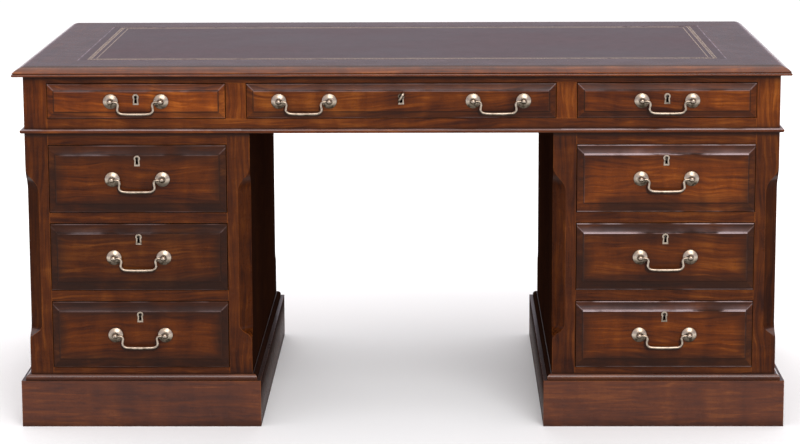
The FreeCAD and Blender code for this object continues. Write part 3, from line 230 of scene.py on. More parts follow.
# Lamps: name, place, what each points at, size and power
LAMPS = (
    ("front_softbox", (0.9, -5.4, 1.95), (0.0, 0.0, 0.45), (3.6, 0.9), 88),
    ("rear_softbox", (-0.4, 4.4, 2.9), (0.0, 0.4, 0.2), (3.6, 1.4), 90),
)
# The sun: name, the direction it comes from, spread in degrees and strength
SUN = ("window_light", (0.16, -0.74, 0.66), 38, 1.25)
# The surround, from the horizon up: how high each colour stands, and the colour
SKY = ((0.10, (0.42, 0.375, 0.45)), (0.85, (1.20, 1.18, 1.18)))
# The floor: a disc's radius in metres and its sides
FLOOR_RADIUS = 30
FLOOR_SIDES = 96
# The camera: place in metres, turn in degrees and width of its film in millimetres
CAMERA_PLACE = (0.075, -5.898, 1.428)
CAMERA_YAW = 0.82
CAMERA_PITCH = 10.3
CAMERA_ROLL = -0.22
FILM_WIDTH = 36


def body_of(node):
    """The body that a CAD node belongs to."""
    for body, nodes in BODIES.items():
        if node in nodes:
            return body
    raise KeyError(node)


# Settings a user would change


def colour_setting(name, description, default):
    """A setting that is a colour."""
    return FloatVectorProperty(
        name=name, description=description, subtype="COLOR", min=0, max=1, default=default
    )


def length_setting(name, description, default, least=0):
    """A setting that is a length in metres."""
    return FloatProperty(
        name=name, description=description, subtype="DISTANCE", min=least, default=default
    )


class DeskWood(bpy.types.PropertyGroup):
    """The colours and the polish of the timber."""

    heart: colour_setting("Heartwood", "Main colour of the polished mahogany", (0.152, 0.0330, 0.0032))
    bright: colour_setting(
        "Bright figure", "Colour of the light streaks in the mahogany", (0.312, 0.0850, 0.0095)
    )
    dark: colour_setting(
        "Dark figure", "Colour of the dark streaks in the mahogany", (0.049, 0.0102, 0.003)
    )
    # Also the colour of painted shade in corners, on faces that look down, under the ledges, on level faces
    # of the mouldings, in the knee-hole and on the chamfers
    patina_and_shade: colour_setting("Patina", "Colour of old wax and dirt in corners", (0.014, 0.006, 0.004))
    fade: colour_setting(
        "Scuffed timber", "Colour that feet and brooms give the plinths", (0.085, 0.048, 0.042)
    )
    # Also the colour of painted highlights and reflections on the drawers' arrises, mitres and upper bevels
    # and on the lip's crest
    arris_wear_and_glint: colour_setting(
        "Worn arris",
        "Colour of the pale lines where the polish is rubbed off an arris",
        (0.500, 0.405, 0.415),
    )
    lining: colour_setting(
        "Lining timber", "Colour of the drawer sides and the hidden boards", (0.330, 0.190, 0.085)
    )
    arris: length_setting("Soft arris", "Radius that years of handling gave the edges", 0.0009)
    gloss: FloatProperty(
        name="Polish roughness",
        description="Roughness of the French polish",
        subtype="FACTOR",
        min=0,
        max=1,
        default=0.27,
    )


class DeskLeather(bpy.types.PropertyGroup):
    """The writing leather and its gilt lines."""

    hide: colour_setting("Hide", "Main colour of the leather", (0.040, 0.0155, 0.0195))
    rubbed_edge: colour_setting(
        "Rubbed edge", "Colour of the leather where its edge is rubbed", (0.270, 0.210, 0.250)
    )
    edge_width: length_setting("Edge width", "Width of the rubbed edge of the leather", 0.0026)
    roll_pitch: length_setting(
        "Roll pitch", "Distance between two lozenges of the tooled roll", 0.0072, least=0.002
    )
    gold: colour_setting("Gold leaf", "Colour of the gilt lines", (0.700, 0.560, 0.420))
    outer_line_inset: length_setting(
        "Outer line", "Distance from the edge of the leather to the outer gilt band", 0.020
    )
    band_width: length_setting(
        "Band width", "Width of the tooled band between the two outer lines", 0.0062
    )
    inner_line_inset: length_setting(
        "Inner line", "Distance from the edge of the leather to the inner gilt line", 0.0365
    )
    line_width: length_setting("Line width", "Width of one gilt line", 0.0011)


class DeskBrass(bpy.types.PropertyGroup):
    """The brass and the bails made of it."""

    metal: colour_setting("Brass", "Colour of the worn, pale brass", (0.600, 0.510, 0.405))
    # Also the colour of painted shade on the brass's undersides and on its flat faces
    tarnish_and_shade: colour_setting(
        "Tarnish", "Colour of the brass where nobody touches it", (0.058, 0.044, 0.028)
    )
    bail_sides: IntProperty(
        name="Bail sides",
        description="Sides of a bail's round section",
        min=8,
        default=20,
    )


class DeskStage(bpy.types.PropertyGroup):
    """The floor and the camera's lens."""

    floor_colour: colour_setting("Floor", "Colour of the floor", (0.93, 0.93, 0.93))
    lens: FloatProperty(
        name="Lens",
        description="Focal length of the camera in millimetres",
        subtype="DISTANCE_CAMERA",
        min=1,
        default=120.6,
    )


# Material nodes


class Socket:
    """A value on its way through a node tree. Sums written with it add Math nodes."""

    def __init__(self, nodes, output):
        self.nodes = nodes
        self.output = output

    def maths(self, operation, *values):
        """A Math node's result."""
        return self.nodes.add("ShaderNodeMath", {"operation": operation}, dict(enumerate(values)))

    def __add__(self, other):
        return self.maths("ADD", self, other)

    def __sub__(self, other):
        return self.maths("SUBTRACT", self, other)

    def __rsub__(self, other):
        return self.maths("SUBTRACT", other, self)

    def __mul__(self, other):
        return self.maths("MULTIPLY", self, other)

    def __truediv__(self, other):
        return self.maths("DIVIDE", self, other)

    def __rtruediv__(self, other):
        return self.maths("DIVIDE", other, self)

    def __pow__(self, other):
        return self.maths("POWER", self, other)

    def __gt__(self, other):
        return self.maths("GREATER_THAN", self, other)

    def __lt__(self, other):
        return self.maths("LESS_THAN", self, other)

    def __abs__(self):
        return self.maths("ABSOLUTE", self)

    __radd__ = __add__
    __rmul__ = __mul__

    def least(self, other):
        """The smaller of two values."""
        return self.maths("MINIMUM", self, other)

    def most(self, other):
        """The larger of two values."""
        return self.maths("MAXIMUM", self, other)

    def fraction(self):
        """What is left above the last whole number."""
        return self.maths("FRACT", self)

    def rising(self, low, high):
        """0 below low, 1 above high and a smooth rise between them; low may be the higher one."""
        settings = {"interpolation_type": "SMOOTHSTEP"}
        return self.nodes.add(
            "ShaderNodeMapRange", settings, {"Value": self, "From Min": low, "From Max": high}
        )


class Nodes:
    """A node tree, and the one method that adds a node to it."""

    def __init__(self, tree):
        self.tree = tree

    def add(self, kind, settings=None, inputs=None, output=0):
        """Adds a node, sets it, feeds its sockets and gives back one of its outputs."""
        node = self.tree.nodes.new(kind)
        for name, value in (settings or {}).items():
            if name == "stops":
                set_stops(node.color_ramp, value)
            else:
                setattr(node, name, value)
        for key, value in (inputs or {}).items():
            self.feed(node.inputs[key], value)
        return Socket(self, node.outputs[output])

    def feed(self, socket, value):
        """Links a value to a node's socket, or sets a number or colour on it."""
        if isinstance(value, Socket):
            self.tree.links.new(value.output, socket)
        else:
            socket.default_value = value


class Recipe(Nodes):
    """A material while it is made: its main shader and the patterns that feed it."""

    def __init__(self, name, **fixed):
        self.material = bpy.data.materials.new(name)
        self.material.use_nodes = True
        super().__init__(self.material.node_tree)
        self.shader = self.tree.nodes["Principled BSDF"]
        self.finish(**fixed)

    def finish(self, **inputs):
        """Feeds the main shader and gives back the material."""
        for name, value in inputs.items():
            self.feed(self.shader.inputs[name.replace("_", " ")], value)
        return self.material

    def dull_where(self, mask, colour, normal):
        """Gives the surface no sheen where the mask is 1."""
        values = {"Roughness": 1.0, "Specular IOR Level": 0.0, "Base Color": colour, "Normal": normal}
        dull = self.add("ShaderNodeBsdfPrincipled", None, values)
        shining = Socket(self, self.shader.outputs[0])
        either = self.add("ShaderNodeMixShader", None, {0: mask, 1: shining, 2: dull})
        self.feed(self.tree.nodes["Material Output"].inputs["Surface"], either)

    def parts(self, vector):
        """A vector's three values."""
        return [self.add("ShaderNodeSeparateXYZ", None, {0: vector}, axis) for axis in range(3)]

    def facing(self):
        """The way the surface faces, as three values."""
        return self.parts(self.add("ShaderNodeNewGeometry", output="Normal"))

    def place(self):
        """The point's place on the desk at rest, as three values."""
        return self.parts(self.add("ShaderNodeTexCoord", output="Object"))

    def point(self, x, y, z):
        """Three values as one vector."""
        return self.add("ShaderNodeCombineXYZ", None, {0: x, 1: y, 2: z})

    def noise(self, vector, scale=1.0, detail=2.0, roughness=0.5, distortion=0.0):
        """A cloudy pattern of values around 0.5."""
        inputs = {
            "Vector": vector,
            "Scale": scale,
            "Detail": detail,
            "Roughness": roughness,
            "Distortion": distortion,
        }
        return self.add("ShaderNodeTexNoise", None, inputs)

    def mix(self, factor, first, second):
        """Two colours mixed."""
        settings = {"data_type": "RGBA", "clamp_factor": True}
        return self.add("ShaderNodeMix", settings, {0: factor, 6: opaque(first), 7: opaque(second)}, 2)

    def ramp(self, value, stops):
        """The colour that a ramp of stops gives a value."""
        return self.add("ShaderNodeValToRGB", {"stops": stops}, {0: value})

    def soft_normal(self, radius):
        """The surface's normal with its edges rounded."""
        return self.add("ShaderNodeBevel", {"samples": 4}, {"Radius": radius})

    def edge(self, radius):
        """How near the point is to an edge: 0 on a flat face and up to about 0.3 on an arris."""
        normals = {0: self.add("ShaderNodeNewGeometry", output="Normal"), 1: self.soft_normal(radius)}
        likeness = self.add("ShaderNodeVectorMath", {"operation": "DOT_PRODUCT"}, normals, 1)
        return 1 - likeness

    def openness(self, distance):
        """1 where the surface is open and 0 deep in a corner."""
        return self.add("ShaderNodeAmbientOcclusion", {"samples": 6}, {"Distance": distance}, "AO")

    def bump(self, height, strength, distance, normal=None):
        """The normal of a surface with some relief."""
        inputs = {"Height": height, "Strength": strength, "Distance": distance}
        if normal is not None:
            inputs["Normal"] = normal
        return self.add("ShaderNodeBump", None, inputs)


def set_stops(ramp, stops):
    """Gives a colour ramp these (position, colour) stops."""
    while len(ramp.elements) < len(stops):
        ramp.elements.new(1.0)
    for element, (position, colour) in zip(ramp.elements, stops):
        element.position = position
        element.color = opaque(colour)


def opaque(colour):
    """A colour with its alpha, where it isn't a socket."""
    return colour if isinstance(colour, Socket) else (*colour[:3], 1.0)


def line_at(distance, line):
    """A soft line where a distance is 0."""
    reach, full, strength = line
    return abs(distance).rising(reach, full) * strength


# Timber


def toned(colour, tone):
    """A colour made lighter or darker."""
    return [min(1.0, part * tone) for part in colour]


def grain_figure(recipe, wood, along, across, depth, tone):
    """The colour of mahogany and the height of its pores, with the grain running along."""

    def layer(fineness, sideways, **pattern):
        fine_along, fine_across = fineness
        spot = recipe.point(along * fine_along, sideways * fine_across, depth * fine_across)
        return recipe.noise(spot, **pattern)

    heart, bright, dark = (toned(colour, tone) for colour in (wood.heart, wood.bright, wood.dark))
    drift = layer(DRIFT, across)
    wave = layer(WAVE, across)
    sway = across + drift * DRIFT_SWAY + wave * WAVE_SWAY
    streak = layer(STREAK, sway, detail=4, roughness=0.52, distortion=0.9)
    ribbon = layer(RIBBON, sway, detail=3, distortion=0.4)
    lines = layer(FINE_LINE, sway, detail=3, roughness=0.6)
    pores = layer(PORE, sway, detail=1)
    figure = drift * 0.23 + streak * 0.39 + ribbon * 0.21 + lines * 0.17
    shade = [0.6 * a + 0.4 * b for a, b in zip(heart, dark)]
    colour = recipe.ramp(figure, list(zip(FIGURE_STOPS, (dark, shade, heart, bright))))
    pits = pores.rising(0.60, 0.74)
    return recipe.mix(pits * 0.55, colour, dark), lines * 0.4 - pits


def shadow_under_ledges(z):
    """Painted shadow close under the top and close under the lip moulding."""
    below_top = z.rising(TOP_LOW.z - TOP_SHADOW[0], TOP_LOW.z - TOP_SHADOW[1]) * (z < TOP_LOW.z)
    below_lip = z.rising(LIP_LOW.z - LIP_SHADOW[0], LIP_LOW.z - LIP_SHADOW[1]) * (z < LIP_LOW.z)
    return below_top + below_lip


def knee_hole_walls(x, z, turned_x):
    """1 on the walls of the knee-hole and the plinths beside it, where painted shade darkens them, and less
    towards the floor.
    """
    walls = abs(turned_x) > WALL_TURN - (z < PLINTH_HIGH.z) * (WALL_TURN - PLINTH_TURN)
    walls = walls * (abs(x) < KNEE_HOLE_HALF) * (z < LIP_LOW.z)
    return walls * (1 - z.rising(MATT_FADE, 0.0) * 0.5)


def post_chamfers(x, z, turned_x, turned_z):
    """The chamfers of the pedestals' posts, which get painted shade, stronger on the outer ones."""
    slanting = abs(turned_x).rising(*CHAMFER_FROM) * abs(turned_x).rising(*CHAMFER_TO)
    slanting = slanting * (abs(turned_z) < 0.5) * (z < LIP_LOW.z) * (z > PLINTH_HIGH.z)
    return slanting * ((abs(x) > PEDESTAL_MIDDLE) * 0.5 + 0.3)


def polished(name):
    """The start of every polished timber."""
    return Recipe(name, IOR=POLISH_IOR, Coat_Roughness=WAX_ROUGHNESS)


def polish(recipe, wood, colour, height, extra_darkening=0.0, soffit=(-0.05, -0.75), sheen=0.9):
    """Old French polish over a timber's colour: old wax and painted shade in the corners, painted shade on
    faces that look down, painted shadow under the top and the lip, worn arrises and the sheen of wax.

    extra_darkening is darkening besides that, and soffit is how far down a face looks where the painted
    shade begins and is full.
    """
    x, y, z = recipe.place()
    turned_x, _, turned_z = recipe.facing()
    # Old wax and painted shade in the corners
    corners = 1 - recipe.openness(CORNER_REACH)
    patches = recipe.noise(recipe.point(x, y, z), 7.0, detail=4, roughness=0.6)
    # Painted shade on faces that look down
    under = turned_z.rising(*soffit)
    shade_and_grime = (corners * 1.5 + under * 0.8 + extra_darkening) * patches.rising(0.1, 0.6) + shadow_under_ledges(z) * 0.8
    rubbed = (recipe.edge(RUBBED_RADIUS) * 7).least(1) * patches.rising(0.38, 0.62) * (1 - under)
    colour = recipe.mix(rubbed * 0.55, colour, wood.bright)
    colour = recipe.mix(shade_and_grime.least(0.86), colour, wood.patina_and_shade)
    smears = recipe.noise(recipe.point(x * 3, y * 3, z * 3), 6.0, detail=5, roughness=0.65)
    roughness = wood.gloss + (smears - 0.5) * 0.22 + shade_and_grime * 0.18
    level = turned_z.rising(0.90, 0.98)
    normal = recipe.bump(height * (1 - level), 0.06, 0.0003, recipe.soft_normal(wood.arris))
    # Painted shade: the knee-hole's walls and the posts' chamfers lose their sheen and are darkened towards
    # the patina colour
    walls = knee_hole_walls(x, z, turned_x)
    matt = walls.most(post_chamfers(x, z, turned_x, turned_z))
    recipe.dull_where(matt, recipe.mix(walls * 0.3 + 0.6, colour, wood.patina_and_shade), normal)
    wax = turned_z.rising(0.12, 0.55) * (1 - level * 0.8) * sheen
    return recipe.finish(Base_Color=colour, Roughness=roughness.most(0.12), Coat_Weight=wax, Normal=normal)


def straight_mahogany(name, wood, grain, tone):
    """Polished mahogany whose grain runs along one axis."""
    recipe = polished(name)
    x, y, z = recipe.place()
    order = {"x": (x, z, y), "y": (y, z, x), "z": (z, x, y)}[grain]
    colour, height = grain_figure(recipe, wood, *order, tone)
    return polish(recipe, wood, colour, height)


def mitred_mahogany(name, wood, tone, faded, half_x, half_y, centre_x=0.0):
    """Polished mahogany round a rectangle, with the grain along each of its four sides."""
    recipe = polished(name)
    x, y, z = recipe.place()
    is_end = (half_x - abs(abs(x) - centre_x)) < (half_y - abs(y))
    along = x + (y - x) * is_end
    across = y + (x - y) * is_end
    colour, height = grain_figure(recipe, wood, along, across, z, tone)
    # Painted shade: level faces are mixed most of the way to the patina colour, which also quiets their
    # figure
    level = recipe.facing()[2].rising(0.90, 0.99)
    colour = recipe.mix(level * 0.78, recipe.mix(faded, colour, wood.fade), wood.patina_and_shade)
    colour = recipe.mix(crest_highlight(recipe, x, y, z), colour, wood.arris_wear_and_glint)
    return polish(recipe, wood, colour, height, soffit=(-0.5, -0.95))


def crest_highlight(recipe, x, y, z):
    """The painted highlight on the crest of the lip moulding, fainter over the knee-hole."""
    reach, full = CREST_LINE
    patches = recipe.noise(recipe.point(x * 9, y * 9, 0), detail=3).rising(0.30, 0.55)
    crest = patches * z.rising(LIP_HIGH.z - reach, LIP_HIGH.z - full)
    crest = crest * (z < LIP_HIGH.z + ROUNDING) * (z > LIP_LOW.z)
    return crest * ((abs(x) > KNEE_HOLE_HALF) * 0.26 + 0.16)


def lining_figure(recipe, wood, along, across, depth):
    """The colour of the plain timber inside, and the height of its grain."""
    drift = recipe.noise(recipe.point(along * 1.5, across * 8, depth * 8))
    sway = across + drift * 0.02
    lines = recipe.noise(recipe.point(along * 6, sway * 260, depth * 260), detail=3, roughness=0.6)
    shade = toned(wood.lining, 0.52)
    pale = toned(wood.lining, 1.22)
    colour = recipe.ramp(drift * 0.5 + lines * 0.5, [(0.34, shade), (0.50, wood.lining), (0.66, pale)])
    return colour, lines


def inner_timber(name, wood):
    """Unpolished timber of the hidden boards, with dust and painted shade in its corners."""
    recipe = Recipe(name, IOR=LINING_IOR)
    x, y, z = recipe.place()
    colour, height = lining_figure(recipe, wood, y, x, z)
    corners = 1 - recipe.openness(0.04)
    colour = recipe.mix((corners * 0.9).least(0.8), colour, wood.patina_and_shade)
    normal = recipe.bump(height, 0.15, 0.0004, recipe.soft_normal(wood.arris))
    return recipe.finish(Base_Color=colour, Roughness=0.62 + height * 0.1, Normal=normal)


def drawer_timber(name, wood, node, kind, tone, wear):
    """A drawer's polished front and its plain sides, back and bottom, with the dovetails between them."""
    low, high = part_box(node)
    half = (high.x - low.x) / 2
    recipe = polished(name)
    x, y, z = recipe.place()
    out = abs(x - (low.x + high.x) / 2)
    behind = (POST_HALF_Y - y) if high.y > POST_HALF_Y else (y + POST_HALF_Y)
    at_side = out > half - SIDE_BOARD
    is_front = (behind < FRONT_BOARD) * (1 - dovetails(node, z, behind) * at_side)
    is_side = at_side * (1 - is_front)

    front_colour, front_height = grain_figure(recipe, wood, x, z, y, tone)
    along = x + (y - x) * is_side
    depth = y + (x - y) * is_side
    lining_colour, lining_height = lining_figure(recipe, wood, along, z, depth)
    colour = recipe.mix(is_front, lining_colour, front_colour)
    height = front_height * is_front + lining_height * (1 - is_front)

    shown = is_front * (behind < 0.0)
    pale_wear_and_glints, dark_border_and_shade = front_wear_glints_and_shade(recipe, node, kind, wear, out, half)
    # Worn polish with painted highlights and reflections, and the field's dark border with painted shade
    # and shadow, on the shown front only
    colour = recipe.mix((pale_wear_and_glints * shown).least(0.75), colour, wood.arris_wear_and_glint)
    return polish(recipe, wood, colour, height, dark_border_and_shade * shown, sheen=0.12 + 0.42 * wear * wear)


def dovetails(node, z, behind):
    """1 at the heights and depths where a drawer's side boards run into its front as lapped tails."""
    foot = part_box(node)[0].z
    board_height = top_of_sides(node) - foot
    pitch = board_height / max(1, round(board_height / TAIL_PITCH))
    from_tail = abs(((z - foot) / pitch).fraction() - 0.5) * pitch
    spread = pitch * TAIL_SHARE / 2 - TAIL_FLARE
    tail_half = spread + (FRONT_BOARD - behind) * (TAIL_FLARE / (FRONT_BOARD - TAIL_LAP))
    return (from_tail < tail_half) * (behind > TAIL_LAP)


def front_wear_glints_and_shade(recipe, node, kind, wear, out, half):
    """Where a drawer's raised front is rubbed pale or has painted highlights and reflections, and where it
    is darker: its field's border, painted shade in its quirk and painted bail shadows.
    """
    x, y, z = recipe.place()
    front_low, front_high = front_limits(node)
    field_x = half - BEVEL_AT_SIDES
    field_low = front_low + BEVEL_AT_ENDS[kind]
    field_high = front_high - BEVEL_AT_ENDS[kind]
    above = z - field_high
    beside = out - field_x
    patches = recipe.noise(recipe.point(x * 14, z * 30, y * 30), detail=3)

    # Worn polish and painted highlights on the field's and the front's arrises
    arrises = line_at(above, FIELD_TOP_LINE) * (out < field_x)
    arrises = arrises + line_at(z - front_high, FRONT_TOP_LINE) + line_at(z - front_low, FRONT_FOOT_LINE)
    arrises = arrises + line_at(beside, FIELD_SIDE_LINE) * (z < field_high) * (z > field_low)
    # Painted highlights on the mitres
    mitres = line_at(above - beside, MITRE_LINE) * (out > field_x) * (z > field_high)
    # Painted reflection on the upper bevel
    upper_bevel = z.rising(front_high - BEVEL_REFLECTION_DROP, field_high) * (z > field_high)
    upper_bevel = upper_bevel * (above > beside)
    pale_wear_and_glints = arrises * patches.rising(0.34, 0.60) * wear + mitres * patches.rising(0.3, 0.5)
    pale_wear_and_glints = pale_wear_and_glints + upper_bevel * patches.rising(0.25, 0.65) * (BEVEL_REFLECTION * wear)

    inside = (field_x - out).least((z - field_low).least(field_high - z))
    reach, darkness = BORDER_DARKENING[kind]
    dark_border_and_shade = inside.rising(reach, BORDER_FULL) * (0.55 + patches * 0.5) * darkness
    # Painted shade in the quirk round the field
    dark_border_and_shade = dark_border_and_shade + line_at(inside + QUIRK_SHIFT, QUIRK_LINE)
    dark_border_and_shade = dark_border_and_shade * (1 - pale_wear_and_glints.least(1))
    # Painted shadows of the drawer's bails
    for handle in BAIL_NODES:
        if handle.startswith(node):
            dark_border_and_shade = dark_border_and_shade + bail_shadow(x, z, handle)
    return pale_wear_and_glints, dark_border_and_shade


def bail_shadow(x, z, handle):
    """The painted shadow of a hanging bail on the drawer's front, a little below and beside the rod."""
    low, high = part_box(handle)
    out = abs(x - (low.x + high.x) / 2 + BAIL_SHADOW_BESIDE)
    down = (high.z - BAIL_END_RADIUS - BAIL_SHADOW_BELOW) - z
    past_side = out - (BAIL_SHADOW_HALF - BAIL_SHADOW_CORNER)
    past_foot = down - (BAIL_SHADOW_DROP - BAIL_SHADOW_CORNER)
    beyond = (past_side.most(0) ** 2 + past_foot.most(0) ** 2) ** 0.5
    from_line = beyond + past_side.most(past_foot).least(0) - BAIL_SHADOW_CORNER
    return line_at(from_line, BAIL_SHADOW_LINE) * down.rising(0.0, BAIL_SHADOW_FADE)


def front_limits(node):
    """The lowest and highest points of a drawer's front board, on its face."""
    heights = [v.co.z for v in NODES[node].data.vertices if abs(v.co.y) > POST_HALF_Y + BEFORE_POSTS]
    return min(heights), max(heights)


def top_of_sides(node):
    """The top edge of a drawer's side boards."""
    reach = POST_HALF_Y - FRONT_BOARD - BEHIND_FRONT
    return max(v.co.z for v in NODES[node].data.vertices if abs(v.co.y) < reach)


def door_timber(name, wood, node):
    """A cupboard door: upright stiles and panel, level rails."""
    low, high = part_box(node)
    half = (high.x - low.x) / 2
    recipe = polished(name)
    x, y, z = recipe.place()
    out = abs(x - (low.x + high.x) / 2)
    near_end = (z < low.z + DOOR_FRAME).most(z > high.z - DOOR_FRAME)
    is_rail = near_end * (out < half - DOOR_FRAME)
    along = z + (x - z) * is_rail
    across = x + (z - x) * is_rail
    colour, height = grain_figure(recipe, wood, along, across, y, DOOR_TONE)
    return polish(recipe, wood, colour, height)


def dress(nodes, material):
    """Puts a material into every slot of some CAD nodes."""
    for node in nodes:
        for slot in NODES[node].material_slots:
            slot.material = material


class DESK_OT_mahogany(bpy.types.Operator):
    """Finish the posts, rails, panels, mouldings and doors in polished mahogany"""

    bl_idname = "desk.mahogany"
    bl_label = "Mahogany"

    def execute(self, context):
        wood = context.scene.desk_wood
        for nodes, grain in ((UPRIGHT_NODES, "z"), (LEVEL_NODES, "x"), (DEEP_NODES, "y")):
            for node, tone in nodes.items():
                dress([node], straight_mahogany("mahogany_" + node, wood, grain, tone))
        half = (PLINTH_HIGH.x - PLINTH_INNER_X) / 2
        for node, *rectangle in (
            ("top_border", TOP_HIGH.x, TOP_HIGH.y),
            ("frieze_lip_moulding", LIP_HIGH.x, LIP_HIGH.y),
            ("pedestal_plinths", half, PLINTH_HIGH.y, PEDESTAL_MIDDLE),
        ):
            dress([node], mitred_mahogany("mahogany_" + node, wood, *MITRED_NODES[node], *rectangle))
        for node in DOOR_NODES:
            dress([node], door_timber("mahogany_" + node, wood, node))
        return {"FINISHED"}


class DESK_OT_drawers(bpy.types.Operator):
    """Finish each drawer: a figured mahogany front on plain linings with dovetails"""

    bl_idname = "desk.drawers"
    bl_label = "Drawers"

    def execute(self, context):
        wood = context.scene.desk_wood
        for node in DRAWER_NODES:
            kind = "frieze" if "frieze" in node else "pedestal"
            place = node.replace("rear_", "")
            tone = DRAWER_TONES[place]
            wear = FRIEZE_WEAR_AND_GLINT if kind == "frieze" else ARRIS_WEAR_AND_GLINT[place.split("_")[0]]
            dress([node], drawer_timber("timber_" + node, wood, node, kind, tone, wear))
        return {"FINISHED"}


class DESK_OT_inner_timber(bpy.types.Operator):
    """Finish the hidden boards and runners in plain timber"""

    bl_idname = "desk.inner_timber"
    bl_label = "Inner timber"

    def execute(self, context):
        dress(INNER_NODES, inner_timber("plain_inner_timber", context.scene.desk_wood))
        return {"FINISHED"}


# Leather


def hide_figure(recipe, leather):
    """Colour, roughness and relief of the writing leather."""
    spot = recipe.point(*recipe.place())
    clouds = recipe.noise(spot, 3.5, detail=4, roughness=0.6)
    mottle = recipe.noise(spot, 60.0, detail=3, roughness=0.6)
    creases = recipe.noise(spot, 420.0, detail=3, roughness=0.6)
    cells = recipe.add(
        "ShaderNodeTexVoronoi", {"feature": "DISTANCE_TO_EDGE"}, {"Vector": spot, "Scale": 520.0}
    )
    deep = toned(leather.hide, 0.55)
    rubbed = [1.4 * part + 0.006 for part in leather.hide]
    tone = clouds * 0.55 + mottle * 0.45
    colour = recipe.ramp(tone, [(0.36, deep), (0.52, leather.hide), (0.68, rubbed)])
    height = cells.rising(0.0, 0.22) * 0.6 + creases * 0.4
    roughness = 0.33 + (clouds - 0.5) * 0.25 + (1 - height) * 0.06
    return colour, roughness, height


def writing_hide(leather):
    """The oxblood leather that is written on."""
    recipe = Recipe("oxblood_leather", IOR=LEATHER_IOR)
    colour, roughness, height = hide_figure(recipe, leather)
    normal = recipe.bump(height, 0.25, 0.0003)
    return recipe.finish(Base_Color=colour, Roughness=roughness, Normal=normal)


def worn_gilding(leather):
    """Gold leaf pressed into the leather and rubbed through in places."""
    recipe = Recipe("worn_gold_leaf", IOR=POLISH_IOR)
    hide, roughness, height = hide_figure(recipe, leather)
    wear = recipe.noise(recipe.point(*recipe.place()), 34.0, detail=5, roughness=0.7)
    kept = wear.rising(0.30, 0.46) * 0.85
    colour = recipe.mix(kept, hide, leather.gold)
    roughness = roughness * (1 - kept) + kept * 0.38
    normal = recipe.bump(height, 0.2, 0.0002)
    return recipe.finish(Base_Color=colour, Metallic=kept * 0.45, Roughness=roughness, Normal=normal)


def turned_edge(leather):
    """The paler, rubbed leather where its edge was pressed down."""
    recipe = Recipe("rubbed_leather_edge", IOR=RUBBED_LEATHER_IOR)
    hide, roughness, height = hide_figure(recipe, leather)
    patches = recipe.noise(recipe.point(*recipe.place()), 26.0, detail=4, roughness=0.6)
    colour = recipe.mix(0.25 + patches.rising(0.35, 0.60) * 0.6, hide, leather.rubbed_edge)
    normal = recipe.bump(height, 0.2, 0.0002)
    return recipe.finish(Base_Color=colour, Roughness=roughness, Normal=normal)


def deselect_all():
    """Leaves edit mode and clears the selection, as every operator acts on what is selected."""
    if bpy.context.object and bpy.context.object.mode != "OBJECT":
        bpy.ops.object.mode_set(mode="OBJECT")
    bpy.ops.object.select_all(action="DESELECT")


def select_corners(test):
    """In edit mode, selects the points whose place, in the object's own space, passes a test."""
    bpy.ops.mesh.select_mode(type="VERT")
    bpy.ops.mesh.select_all(action="DESELECT")
    bpy.ops.object.mode_set(mode="OBJECT")
    for vertex in bpy.context.object.data.vertices:
        vertex.select = test(vertex.co)
    bpy.ops.object.mode_set(mode="EDIT")


def turn_outwards():
    """In edit mode, turns every face of the piece outwards."""
    bpy.ops.mesh.select_all(action="SELECT")
    bpy.ops.mesh.normals_make_consistent(inside=False)


def settle(name, material):
    """Ends a piece: its name, its finish, and its object at the origin without turn or scale."""
    bpy.ops.object.mode_set(mode="OBJECT")
    piece = bpy.context.object
    piece.name = piece.data.name = name
    bpy.ops.object.transform_apply(location=True, rotation=True, scale=True)
    piece.data.materials.clear()
    piece.data.materials.append(material)
    return piece


def raised_frame(name, inset, width, material):
    """A thin mitred frame on the leather: a plane that is inset, opened and raised."""
    deselect_all()
    bpy.ops.mesh.primitive_plane_add(size=2, location=(0, 0, LEATHER_HIGH.z))
    bpy.context.object.scale = (LEATHER_HIGH.x - inset, LEATHER_HIGH.y - inset, 1)
    bpy.ops.object.transform_apply(location=False, rotation=False, scale=True)
    bpy.ops.object.mode_set(mode="EDIT")
    bpy.ops.mesh.inset(thickness=width)
    bpy.ops.mesh.delete(type="FACE")
    bpy.ops.mesh.select_all(action="SELECT")
    bpy.ops.mesh.extrude_region_move(TRANSFORM_OT_translate={"value": (0, 0, GILT_THICKNESS)})
    turn_outwards()
    return settle(name, material)


def is_waist(place):
    """Whether a point of the lozenge is one of those that are drawn in."""
    turns = math.degrees(math.atan2(place.y, place.x)) / (360 / LOZENGE_POINTS)
    return round(turns) % 2 == 1


def lozenge_row(leather, along, across, upright):
    """One small lozenge, repeated down a side of the leather and again on the opposite side."""
    count = round(2 * along / leather.roll_pitch)
    step = 2 * along / count
    size = leather.band_width * LOZENGE_SHARE
    middle = (0, 0, LEATHER_HIGH.z)
    deselect_all()
    bpy.ops.mesh.primitive_circle_add(
        vertices=LOZENGE_POINTS, radius=size, fill_type="NGON", location=middle
    )
    bpy.ops.object.mode_set(mode="EDIT")
    bpy.ops.mesh.extrude_region_move(TRANSFORM_OT_translate={"value": (0, 0, GILT_THICKNESS)})
    select_corners(is_waist)
    bpy.ops.transform.resize(value=(LOZENGE_WAIST, LOZENGE_WAIST, 1), center_override=middle)
    turn_outwards()
    bpy.ops.object.mode_set(mode="OBJECT")
    lozenge = bpy.context.object
    for name, copies, shift, on_y in (
        ("row", count, step, upright),
        ("pair", 2, 2 * across, not upright),
    ):
        repeat = lozenge.modifiers.new(name, "ARRAY")
        repeat.count = copies
        repeat.use_relative_offset = False
        repeat.use_constant_offset = True
        repeat.constant_offset_displace = (0, shift, 0) if on_y else (shift, 0, 0)
        bpy.ops.object.modifier_apply(modifier=name)
    start = -along + step / 2
    lozenge.location = (-across, start, LEATHER_HIGH.z) if upright else (start, -across, LEATHER_HIGH.z)
    return lozenge


